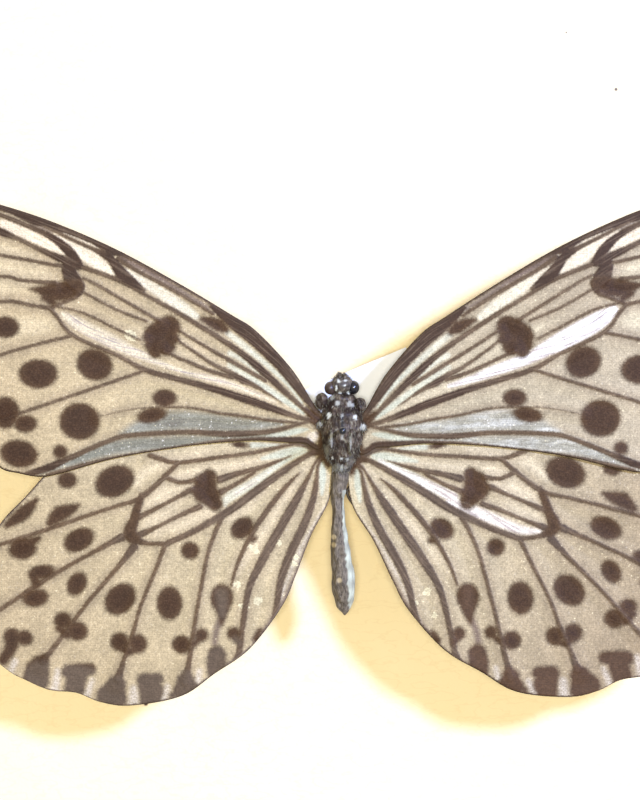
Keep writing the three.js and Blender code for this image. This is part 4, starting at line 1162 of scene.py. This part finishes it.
def body_normals(form, share, angle):
    """Outward direction on a body form: the cross product of its two slopes"""
    near = 1e-3
    across = body_surface(form, share, angle + near) - body_surface(form, share, angle - near)
    along = body_surface(form, share + near, angle) - body_surface(form, share - near, angle)
    normal = np.cross(across, along)
    normal /= np.linalg.norm(normal, axis=-1, keepdims=True) + 1e-12
    outward = body_surface(form, share, angle) - body_surface(form, share, angle + math.pi)
    return normal * np.sign(np.sum(normal * outward, -1, keepdims=True))


def body_shape(form, rings, around, wrinkles=(), swell=None):
    """The form's grid as a closed shape. Each place moves out by its swelling, where there is one, and by
    its wrinkles, each of which is a ripple times its height."""
    share = np.linspace(0, 1, rings)[:, None]
    angle = np.linspace(0, 2 * math.pi, around, endpoint=False)[None, :]
    place = body_surface(form, share, angle)
    rise = np.zeros(place.shape[:-1]) if swell is None else swell(place)
    for height, size, along, draw in wrinkles:
        rise = rise + height * ripple(place * [1, along, 1], size, SEED + draw)
    place = place + body_normals(form, share, angle) * rise[..., None]
    return (with_poles(at_pin(place)), *tube_faces(rings, around))


def spikes(roots, headings, lengths, radius, droop):
    """Many thin three-sided spikes. A ring's middle is the root plus the heading times its share of the
    length, less the droop times the share squared; its radius shrinks to nought at the tip."""
    count = len(roots)
    shares = np.array(SPIKE_SHARES)
    side = np.cross(headings, HAIR_ASKEW)
    side /= np.linalg.norm(side, axis=1, keepdims=True)
    other = np.cross(headings, side)
    turns = np.arange(3) * 2 * math.pi / 3
    middle = roots[:, None] + headings[:, None] * (lengths[:, None] * shares)[..., None]
    middle = middle - (droop[:, None] * (lengths[:, None] * shares**2)[..., None])
    ring = side[:, None] * np.cos(turns)[None, :, None] + other[:, None] * np.sin(turns)[None, :, None]
    thick = radius[:, None] * (1 - SPIKE_TAPER * shares)
    rings = middle[:, :, None] + ring[:, None] * thick[..., None, None]
    tips = roots + headings * lengths[:, None] - droop * lengths[:, None]
    vertices = np.concatenate([rings.reshape(count, -1, 3), tips[:, None]], 1)
    first = np.arange(count)[:, None, None] * SPIKE_CORNERS
    quads = np.array([[r * 3 + a, r * 3 + (a + 1) % 3, r * 3 + 3 + (a + 1) % 3, r * 3 + 3 + a]
                      for r in range(2) for a in range(3)])
    triangles = np.array([[6, 7, 9], [7, 8, 9], [8, 6, 9], [0, 2, 1]])
    return (vertices.reshape(-1, 3), (first + quads).reshape(-1, 4), (first + triangles).reshape(-1, 3))


def hair_on(form, count, length, radius, flow, seed):
    """Hair rooted at random on a body form: each leans from the surface's outward direction towards flow.
    Returns the shape, and each corner's tone and whiteness."""
    chance = np.random.default_rng(seed)
    share = chance.uniform(*HAIR_SPAN, count)
    angle = chance.uniform(0, 2 * math.pi, count)
    roots = body_surface(form, share, angle)
    out = body_normals(form, share, angle)
    heading = out + np.array(flow) + chance.normal(0, HAIR_SPREAD, (count, 3))
    heading /= np.linalg.norm(heading, axis=1, keepdims=True)
    lengths = length * chance.uniform(*HAIR_LENGTHS, count)
    droop = np.array([[0.0, 0.0, HAIR_DROOP]]) * chance.uniform(0, 1, (count, 1))
    shape = spikes(at_pin(roots), heading, lengths, radius * chance.uniform(*HAIR_RADII, count), droop)
    bare = 1 - groove_share(roots)
    tone = np.repeat(chance.uniform(0, 1, count) * bare, SPIKE_CORNERS)
    white = np.repeat(pale_share(roots) * bare, SPIKE_CORNERS)
    return shape, tone, white


def make_hair(name, forms, counts, length, radius, flow, seed, material):
    """The hair of several forms as one piece"""
    tufts = [hair_on(form, count, length, radius, flow, seed + i)
             for i, (form, count) in enumerate(zip(forms, counts))]
    shapes, tones, whites = zip(*tufts)
    make_piece(name, joined(shapes), material, (), {
        "tone": np.concatenate(tones), "white": np.concatenate(whites)})


def oval_distance(place, x, forward, half_width, half_length):
    """Distance from an oval's middle as seen from above, scaled so that it is 1 on the oval"""
    return np.hypot((place[..., 0] - x) / half_width, (place[..., 1] - forward) / half_length)


def pale_share(place):
    """How pale the scales are on the upper side: the spot's own share inside it, and 0 outside. A ripple of
    the distance frays each spot's edge."""
    share = np.zeros(place.shape[:-1])
    fray = 1 + SPOT_FRAY * ripple(place, SPOT_FRAY_SIZE, SEED + SPOT_DRAW)
    for *oval, white in PALE_SPOTS:
        share = np.maximum(share, white * (1 - step(*SPOT_EDGE, oval_distance(place, *oval) * fray)))
    return share * (place[..., 2] > BODY_HEIGHT)


def groove_share(place):
    """1 in the groove ahead of the pin and 0 outside it, by the scaled distance from its middle"""
    return (1 - step(*GROOVE_EDGE, oval_distance(place, *GROOVE))) * (place[..., 2] > BODY_HEIGHT)


def hide_material():
    """Dry insect skin: dark brown horn under thin dusty scales, rubbed in streaks along the body, so it is
    dull with small glints and patches of olive and grey"""
    material, tree, principled = new_material("scaled_hide", IOR=1.54, Specular_IOR_Level=0.25)
    position = add_node(tree, "TexCoord").outputs["Object"]
    white = add_node(tree, "Attribute", attribute_name="white").outputs["Fac"]
    groove = add_node(tree, "Attribute", attribute_name="groove").outputs["Fac"]
    along = add_node(tree, "Mapping", {"Vector": position, "Scale": HIDE_STRETCH})
    dust = add_node(tree, "TexNoise", {
        "Vector": along.outputs["Vector"], "Scale": 1 / (GRAIN["body_scales"] * MM), "Detail": 4.0,
        "Roughness": 0.7}).outputs["Fac"]
    patch = add_node(tree, "TexNoise", {
        "Vector": position, "Scale": 1 / (GRAIN["body_patches"] * MM), "Detail": 2.0}).outputs["Fac"]
    ramp = add_node(tree, "ValToRGB", {"Fac": dust}, stops=(
        (0.3, "#1A1310"), (0.43, "#46372C"), (0.53, "#66584A"), (0.64, "#86806A"), (0.8, "#ABA890")))
    tint = add_node(tree, "MapRange", {
        "Value": patch, "From Min": 0.42, "From Max": 0.6}).outputs["Result"]
    rough = add_node(tree, "MapRange", {
        "Value": dust, "From Min": 0.3, "From Max": 0.7, "To Min": 0.25, "To Max": 0.7}).outputs["Result"]
    coats = ((tint, ramp.outputs["Color"]), (white, "#D5D6C8"), (groove, "#0A0B11"))
    finish_material(tree, principled, linear("#2A1E17"), coats, rough, dust, strength=0.9, depth=0.15)
    return material


def hair_material():
    """Fine insect hair and long scales: brown at most roots, with olive, grey and white ones between"""
    material, tree, principled = new_material("body_hairs", IOR=1.55, Roughness=0.5, Specular_IOR_Level=0.3)
    tone = add_node(tree, "Attribute", attribute_name="tone").outputs["Fac"]
    white = add_node(tree, "Attribute", attribute_name="white").outputs["Fac"]
    ramp = add_node(tree, "ValToRGB", {"Fac": tone}, stops=(
        (0.0, "#241A13"), (0.45, "#483A2E"), (0.72, "#6A614E"), (0.9, "#8C8870"), (1.0, "#A8A58E")))
    finish_material(tree, principled, ramp.outputs["Color"], ((white, "#DEE0D2"),))
    return material


def eye_material(name, dark, light, roughness):
    """Dried compound eye: a smooth dark dome of tiny lenses, so it shines with a soft pitted edge"""
    material, tree, principled = new_material(name, IOR=1.55, Roughness=roughness)
    position = add_node(tree, "TexCoord").outputs["Object"]
    lens = add_node(tree, "TexVoronoi", {
        "Vector": position, "Scale": 1 / (GRAIN["eye_lenses"] * MM)}).outputs["Distance"]
    cloud = add_node(tree, "TexNoise", {
        "Vector": position, "Scale": 1 / (GRAIN["eye_clouds"] * MM)}).outputs["Fac"]
    finish_material(tree, principled, linear(dark), ((cloud, light),), relief=lens, depth=0.02)
    return material


class SPECIMEN_OT_thorax(bpy.types.Operator):
    """Builds the thorax with its collar and shoulder flaps, and its hair"""

    bl_idname = "specimen.thorax"
    bl_label = "Thorax"

    def execute(self, context):
        settings = context.scene.specimen.body
        trunk = {"profile": THORAX_PROFILE, "path": THORAX_PATH, "depth": THORAX_FLATTENING}
        forms = [trunk] + [lump_form(*lump) for lump in THORAX_LUMPS.values()]
        shape = joined([body_shape(form, *GRIDS["thorax"], WRINKLES["thorax"]) for form in forms])
        place = shape[0] - [0, PIN_Y, 0]
        make_piece("thorax_hide", shape, hide_material(), ["thorax"],
                   {"white": pale_share(place), "groove": groove_share(place)})
        counts = [settings.hairs] + [settings.hairs // THORAX_TUFT] * len(THORAX_LUMPS)
        make_hair("thorax_hairs", forms, counts, settings.hair_length / MM, settings.hair_radius / MM,
                  THORAX_FLOW, SEED, hair_material())
        return {"FINISHED"}


class SPECIMEN_OT_head(bpy.types.Operator):
    """Builds the head, its two eyes and its hair, from the thorax's materials"""

    bl_idname = "specimen.head"
    bl_label = "Head"

    def execute(self, context):
        settings = context.scene.specimen.body
        forms = [lump_form(*lump) for lump in HEAD_LUMPS.values()]
        shape = joined([body_shape(form, *GRIDS["head"], WRINKLES["head"]) for form in forms])
        white = np.maximum(pale_share(shape[0] - [0, PIN_Y, 0]), FACE_DUST)
        hide = bpy.data.materials["scaled_hide"]
        make_piece("head_hide", shape, hide, ["head"], {"white": white})
        for name, (lump, skin) in EYES.items():
            make_piece(name, body_shape(lump_form(*lump), *GRIDS["eye"]),
                       eye_material(f"compound_{name}", *skin))
        counts = [settings.hairs // part for part in HEAD_TUFTS]
        make_hair("head_hairs", forms, counts, HEAD_HAIR_LENGTH * settings.hair_length / MM,
                  settings.hair_radius / MM, HEAD_FLOW, SEED + HEAD_HAIR_DRAW,
                  bpy.data.materials["body_hairs"])
        return {"FINISHED"}


def abdomen_material():
    """Shrunken dry abdomen: grey-brown skin with cream dots, and a pale, bluish stripe down the side towards
    the key light, which is a painted highlight
    """
    material, tree, principled = new_material("abdomen_skin", IOR=1.5, Specular_IOR_Level=0.25)
    position = add_node(tree, "TexCoord").outputs["Object"]
    stripe = add_node(tree, "Attribute", attribute_name="stripe").outputs["Fac"]
    cream = add_node(tree, "Attribute", attribute_name="cream").outputs["Fac"]
    along = add_node(tree, "Mapping", {"Vector": position, "Scale": ABDOMEN_STRETCH})
    noise = add_node(tree, "TexNoise", {
        "Vector": along.outputs["Vector"], "Scale": 1 / (GRAIN["abdomen_scales"] * MM), "Detail": 4.0,
        "Roughness": 0.7}).outputs["Fac"]
    dust = add_node(tree, "MapRange", {
        "Value": noise, "From Min": 0.3, "From Max": 0.7}).outputs["Result"]
    # The stripe's colour is a painted highlight
    coats = ((dust, "#8A7E6B"), (stripe, "#C6C9B0"), (cream, "#B3A27F"))
    rough = add_node(tree, "MapRange", {
        "Value": dust, "To Min": 0.35, "To Max": 0.65}).outputs["Result"]
    finish_material(tree, principled, linear("#2B221A"), coats, rough, dust, strength=0.8, depth=0.1)
    return material


def segments(forward):
    """How many segments of the abdomen lie between its tip and a place"""
    return (forward + ABDOMEN_TIP) / ABDOMEN_SPAN * ABDOMEN_SEGMENTS


def segment_swell(place):
    """Each segment swells between its joints: the root of the sine of its share, about its mean"""
    return SEGMENT_SWELL * (np.abs(np.sin(math.pi * segments(place[..., 1]))) ** 0.5 - SWELL_MEAN)


class SPECIMEN_OT_abdomen(bpy.types.Operator):
    """Builds the slim, shrunken abdomen"""

    bl_idname = "specimen.abdomen"
    bl_label = "Abdomen"

    def execute(self, context):
        form = {"profile": ABDOMEN_PROFILE, "path": ABDOMEN_PATH, "depth": ABDOMEN_DEPTH}
        shape = body_shape(form, *GRIDS["abdomen"], WRINKLES["abdomen"], segment_swell)
        x, y = shape[0][:, 0], shape[0][:, 1] - PIN_Y
        # The stripe, a painted highlight, lies on the side towards the key light
        path = smooth_curve(ABDOMEN_PATH, STRIPE_PLACES)[::-1]
        middle = np.interp(y, path[:, 1], path[:, 0])
        notches = 0.5 + 0.5 * np.sin(segments(y) * 2 * math.pi)
        fray = STRIPE_FRAY * ripple(shape[0], STRIPE_FRAY_SIZE, SEED + STRIPE_DRAW)
        edge = (x - middle) / STRIPE_UNIT + fray - STRIPE_NOTCH * notches
        stripe = step(*STRIPE_EDGE, edge) * (1 - STRIPE_FADE * (1 - notches)) * (y < STRIPE_START)
        cream = np.zeros(len(x))
        for crumb_x, crumb_y in CRUMBS:
            cream = np.maximum(cream, 1 - step(*CRUMB_EDGE, np.hypot(x - crumb_x, y - crumb_y)))
        make_piece("abdomen_skin", shape, abdomen_material(), ["abdomen"],
                   {"stripe": stripe, "cream": cream})
        return {"FINISHED"}


def tube_shape(points, around):
    """A round tube along points [x, y, z, radius]: each ring stands square to the path, turned so that its
    first side stays level"""
    centre, radius = points[:, :3], points[:, 3]
    along = np.gradient(centre, axis=0)
    along /= np.linalg.norm(along, axis=1, keepdims=True)
    side = np.cross(along, TUBE_ASKEW)
    side /= np.linalg.norm(side, axis=1, keepdims=True)
    other = np.cross(side, along)
    angle = np.linspace(0, 2 * math.pi, around, endpoint=False)
    ring = side[:, None] * np.cos(angle)[None, :, None] + other[:, None] * np.sin(angle)[None, :, None]
    return (with_poles(centre[:, None] + ring * radius[:, None, None]), *tube_faces(len(points), around))


def horn_material():
    """Insect horn on legs and tongue: smooth, near-black brown, browner where thin, with a soft shine"""
    material, tree, principled = new_material("leg_horn", IOR=1.56)
    position = add_node(tree, "TexCoord").outputs["Object"]
    cloud = add_node(tree, "TexNoise", {
        "Vector": position, "Scale": 1 / (GRAIN["horn_clouds"] * MM), "Detail": 3.0}).outputs["Fac"]
    dark = (*bpy.context.scene.specimen.body.horn, 1.0)
    rough = add_node(tree, "MapRange", {
        "Value": cloud, "To Min": 0.3, "To Max": 0.6}).outputs["Result"]
    finish_material(tree, principled, dark, ((cloud, "#4A3B30"),), rough, cloud)
    return material


class SPECIMEN_OT_legs(bpy.types.Operator):
    """Builds the six legs with their spines, and the coiled tongue"""

    bl_idname = "specimen.legs"
    bl_label = "Legs and tongue"

    def execute(self, context):
        horn = horn_material()
        for index, (name, (side, node, knees)) in enumerate(LEGS.items()):
            path = smooth_curve(np.array(knees) * [side, 1, 1, 1], LEG_RINGS)
            shape = tube_shape(path + [0, PIN_Y, 0, 0], TUBE_AROUND)
            chance = np.random.default_rng(SEED + SPINE_DRAW + index)
            at = chance.integers(*SPINE_RINGS, SPINES)
            lean = np.gradient(path[:, :3], axis=0)[at] * SPINE_LEAN
            heading = chance.normal(size=(SPINES, 3)) + lean
            heading /= np.linalg.norm(heading, axis=1, keepdims=True)
            spines = spikes(at_pin(path[at, :3]), heading, path[at, 3] * SPINE_LENGTH,
                            path[at, 3] * SPINE_RADIUS, np.zeros((SPINES, 3)))
            make_piece(name, joined([shape, spines]), horn, [node])
        share = np.linspace(0, 1, TONGUE_RINGS)
        angle = math.pi / 2 - share * TONGUE_TURNS * 2 * math.pi
        radius = TONGUE_OUTER + share * (TONGUE_INNER - TONGUE_OUTER)
        x, y, z = TONGUE_CENTRE
        coil = np.stack([
            np.full(TONGUE_RINGS, x),
            y + PIN_Y + radius * np.cos(angle),
            z + radius * np.sin(angle),
            TONGUE_RADIUS * (1 - TONGUE_TAPER * share),
        ], 1)
        make_piece("coiled_tongue", tube_shape(coil, TUBE_AROUND), horn, ["proboscis"])
        return {"FINISHED"}


def pin_material():
    """Black-enamelled steel insect pin: thin glossy lacquer, almost black with a blue cast"""
    material, tree, principled = new_material(
        "enamelled_steel", IOR=1.5, Coat_Weight=0.6, Coat_Roughness=0.08)
    position = add_node(tree, "TexCoord").outputs["Object"]
    wear = add_node(tree, "TexNoise", {
        "Vector": position, "Scale": 1 / (GRAIN["pin_wear"] * MM), "Detail": 3.0}).outputs["Fac"]
    rough = add_node(tree, "MapRange", {
        "Value": wear, "To Min": 0.15, "To Max": 0.35}).outputs["Result"]
    finish_material(tree, principled, linear("#08090C"), ((wear, "#1A1C24"),), rough)
    return material


class SPECIMEN_OT_pin(bpy.types.Operator):
    """Builds the insect pin: its radius along its height, turned round its axis. The head is a ball, whose
    angle runs from where the shaft enters it to its top."""

    bl_idname = "specimen.pin"
    bl_label = "Pin"

    def execute(self, context):
        settings = context.scene.specimen.mount
        shaft, head = settings.pin_diameter / MM / 2, settings.pin_head / MM / 2
        arc = np.linspace(math.asin(shaft / head), math.pi - PIN_POLE_GAP, PIN_HEAD_RINGS)
        middle = PIN_LENGTH - head
        straight = np.linspace(PIN_POINT_LENGTH / 2, middle - head - PIN_NECK, PIN_RINGS)
        heights = np.concatenate([[PIN_TIP_HEIGHT], straight, middle - head * np.cos(arc)])
        radii = np.concatenate([[PIN_TIP_RADIUS], np.full(PIN_RINGS, shaft), head * np.sin(arc)])
        radii[1:4] = shaft * np.array(PIN_POINT)
        angle = np.linspace(0, 2 * math.pi, PIN_AROUND, endpoint=False)
        x, y = np.cos(angle) * radii[:, None], np.sin(angle) * radii[:, None] + PIN_Y
        z = np.broadcast_to(heights[:, None] + PIN_FOOT, x.shape)
        rings = np.stack([x, y, z], -1)
        make_piece("enamelled_pin", (with_poles(rings), *tube_faces(len(radii), PIN_AROUND)),
                   pin_material(), ["pin"])
        return {"FINISHED"}


def paper_material():
    """Rag paper label, cut with a blade: bright matt fibres with a faint mottle"""
    material, tree, principled = new_material("label_paper", IOR=1.45, Roughness=0.8)
    position = add_node(tree, "TexCoord").outputs["Object"]
    fibres = add_node(tree, "TexNoise", {
        "Vector": position, "Scale": 1 / (GRAIN["paper_fibres"] * MM), "Detail": 5.0,
        "Distortion": 1.5}).outputs["Fac"]
    bright = (*bpy.context.scene.specimen.mount.paper, 1.0)
    finish_material(tree, principled, bright, ((fibres, "#F0F2F6"),), relief=fibres)
    return material


class SPECIMEN_OT_label(bpy.types.Operator):
    """Builds the blank paper data label: a flat card whose height rises with the square of the distance from
    its middle line, on slow waves"""

    bl_idname = "specimen.label"
    bl_label = "Data label"

    def execute(self, context):
        settings = context.scene.specimen.mount
        columns, rows = LABEL_GRID
        across = np.concatenate([np.linspace(-0.5, 0.5, rows), np.linspace(0.5, -0.5, rows)])
        up = np.repeat([1, -1], rows)
        x, y = np.broadcast_arrays(np.linspace(-0.5, 0.5, columns)[:, None], across[None])
        x, y = x * settings.label_length / MM, y * settings.label_width / MM
        wave = LABEL_WAVE * ripple(np.stack([x, y], -1), LABEL_WAVE_LENGTH, SEED + LABEL_DRAW)
        curl = LABEL_CURL * (across[None] * 2) ** 2 + wave
        z = LABEL_HEIGHT + LABEL_THICKNESS / 2 + curl + up[None] * LABEL_THICKNESS / 2
        turn = settings.label_turn
        rings = np.stack([x * math.cos(turn) - y * math.sin(turn),
                          x * math.sin(turn) + y * math.cos(turn), z], -1)
        make_piece("paper_label", (with_poles(at_pin(rings)), *tube_faces(columns, 2 * rows)),
                   paper_material(), ["data_label"], smooth=False)
        return {"FINISHED"}


def foam_material():
    """Cross-linked polyethylene foam, skived flat: cream closed cells that give a soft, finely pored skin.
    The skiving blade left fine wavy creases, where a stretched noise crosses its middle value."""
    material, tree, principled = new_material("pinning_foam", IOR=1.45, Roughness=0.85)
    position = add_node(tree, "TexCoord").outputs["Object"]
    cells = add_node(tree, "TexVoronoi", {
        "Vector": position, "Scale": 1 / (GRAIN["foam_cells"] * MM)}).outputs["Distance"]
    stretched = add_node(tree, "Mapping", {"Vector": position, "Scale": CREASE_STRETCH})
    wave = add_node(tree, "TexNoise", {
        "Vector": stretched.outputs["Vector"], "Scale": 1 / (GRAIN["foam_creases"] * MM),
        "Detail": 2.0}).outputs["Fac"]
    apart = add_node(tree, "Math", {0: wave, 1: 0.5}, operation="SUBTRACT").outputs[0]
    apart = add_node(tree, "Math", {0: apart}, operation="ABSOLUTE").outputs[0]
    crease = add_node(tree, "MapRange", {
        "Value": apart, "From Min": 0.035, "From Max": 0.0, "To Max": 0.22}).outputs["Result"]
    cloud = add_node(tree, "TexNoise", {
        "Vector": position, "Scale": 1 / (GRAIN["foam_clouds"] * MM), "Detail": 4.0}).outputs["Fac"]
    coats = [(cloud, "#F7E2B1"), (crease, "#E4C893")]
    for x, y, radius, code in SPECKS:
        apart = add_node(tree, "VectorMath", {
            0: position, 1: (x * MM, y * MM, BOARD_HEIGHT * MM)}, operation="DISTANCE").outputs["Value"]
        outer, inner = (radius * edge * MM for edge in SPECK_EDGE)
        speck = add_node(tree, "MapRange", {
            "Value": apart, "From Min": outer, "From Max": inner}).outputs["Result"]
        coats.append((speck, code))
    bright = (*bpy.context.scene.specimen.mount.foam, 1.0)
    finish_material(tree, principled, bright, coats, relief=cells, strength=0.25, depth=0.08)
    return material


class SPECIMEN_OT_board(bpy.types.Operator):
    """Gives the foam board its finish"""

    bl_idname = "specimen.board"
    bl_label = "Foam board"

    def execute(self, context):
        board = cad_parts["pinning_board"]
        board.data.materials.clear()
        board.data.materials.append(foam_material())
        return {"FINISHED"}


def area_light(name, colour, strength, heading, distance, size):
    """A round area light aimed at the specimen. A matt white surface square to it shows its colour times
    its strength, so its power is pi squared times the distance squared times that."""
    light = bpy.data.lights.new(name, "AREA")
    light.shape = "DISK"
    light.size = size
    light.color = colour
    light.energy = strength * math.pi**2 * distance**2
    lamp = bpy.data.objects.new(name, light)
    bpy.context.scene.collection.objects.link(lamp)
    away = Vector(heading).normalized()
    lamp.location = Vector((0.0, PIN_Y, FOREWING_HEIGHT)) * MM + away * distance
    lamp.rotation_euler = away.to_track_quat("Z", "Y").to_euler()
    lamp.visible_camera = False
    return lamp


class SPECIMEN_OT_stage(bpy.types.Operator):
    """Sets up the floor, the lights and the camera"""

    bl_idname = "specimen.stage"
    bl_label = "Stage"

    def execute(self, context):
        scene = context.scene
        settings = scene.specimen.stage
        far = FLOOR_REACH
        mesh = bpy.data.meshes.new("floor")
        mesh.from_pydata([(-far, -far, 0), (far, -far, 0), (far, far, 0), (-far, far, 0)], [], [(0, 1, 2, 3)])
        floor = bpy.data.objects.new("floor", mesh)
        floor.location.z = -FLOOR_DROP
        scene.collection.objects.link(floor)
        material, tree, principled = new_material("painted_table", Roughness=0.6)
        position = add_node(tree, "TexCoord").outputs["Object"]
        cloud = add_node(tree, "TexNoise", {"Vector": position, "Scale": 6.0}).outputs["Fac"]
        finish_material(tree, principled, (*settings.table, 1.0), ((cloud, "#C4C3C0"),))
        mesh.materials.append(material)
        for name, share in (("key_light", settings.key), ("fill_light", settings.fill)):
            colour, strength, heading, distance, size = LAMPS[name]
            area_light(name, colour, strength * share, heading, distance, size)
        world = bpy.data.worlds.new("studio")
        scene.world = world
        world.use_nodes = True
        background = world.node_tree.nodes["Background"]
        background.inputs["Color"].default_value = STUDIO_COLOUR
        background.inputs["Strength"].default_value = STUDIO_STRENGTH
        scene.view_settings.view_transform = "Standard"
        camera = bpy.data.cameras.new("camera")
        camera.angle = 2 * math.atan(VIEW_HEIGHT / 2 / LENS_HEIGHT)
        camera.clip_start = CLIP_START
        view = bpy.data.objects.new("camera", camera)
        view.location = (VIEW_MIDDLE[0] * MM, VIEW_MIDDLE[1] * MM, (FOREWING_HEIGHT + LENS_HEIGHT) * MM)
        scene.collection.objects.link(view)
        scene.camera = view
        return {"FINISHED"}


class SPECIMEN_PT_panel(bpy.types.Panel):
    """Lists the steps that build the specimen"""

    bl_idname = "SPECIMEN_PT_panel"
    bl_label = "Pinned butterfly"
    bl_space_type = "VIEW_3D"
    bl_region_type = "UI"
    bl_category = "Specimen"

    def draw(self, context):
        for group in SpecimenSettings.__annotations__:
            settings = getattr(context.scene.specimen, group)
            for name in settings.__annotations__:
                self.layout.prop(settings, name)
        for operator in OPERATORS:
            self.layout.operator(operator.bl_idname)


OPERATORS = (
    SPECIMEN_OT_wings, SPECIMEN_OT_thorax, SPECIMEN_OT_head, SPECIMEN_OT_abdomen, SPECIMEN_OT_legs,
    SPECIMEN_OT_pin, SPECIMEN_OT_label, SPECIMEN_OT_board, SPECIMEN_OT_stage,
)
CLASSES = (
    WingSettings, BodySettings, MountSettings, StageSettings, SpecimenSettings, *OPERATORS,
    SPECIMEN_PT_panel,
)


def register():
    for made in CLASSES:
        bpy.utils.register_class(made)
    bpy.types.Scene.specimen = PointerProperty(type=SpecimenSettings)


def unregister():
    del bpy.types.Scene.specimen
    for made in reversed(CLASSES):
        bpy.utils.unregister_class(made)


def main():
    register()
    bpy.ops.specimen.wings()
    bpy.ops.specimen.thorax()
    bpy.ops.specimen.head()
    bpy.ops.specimen.abdomen()
    bpy.ops.specimen.legs()
    bpy.ops.specimen.pin()
    bpy.ops.specimen.label()
    bpy.ops.specimen.board()
    bpy.ops.specimen.stage()


if __name__ == "__main__":
    main()
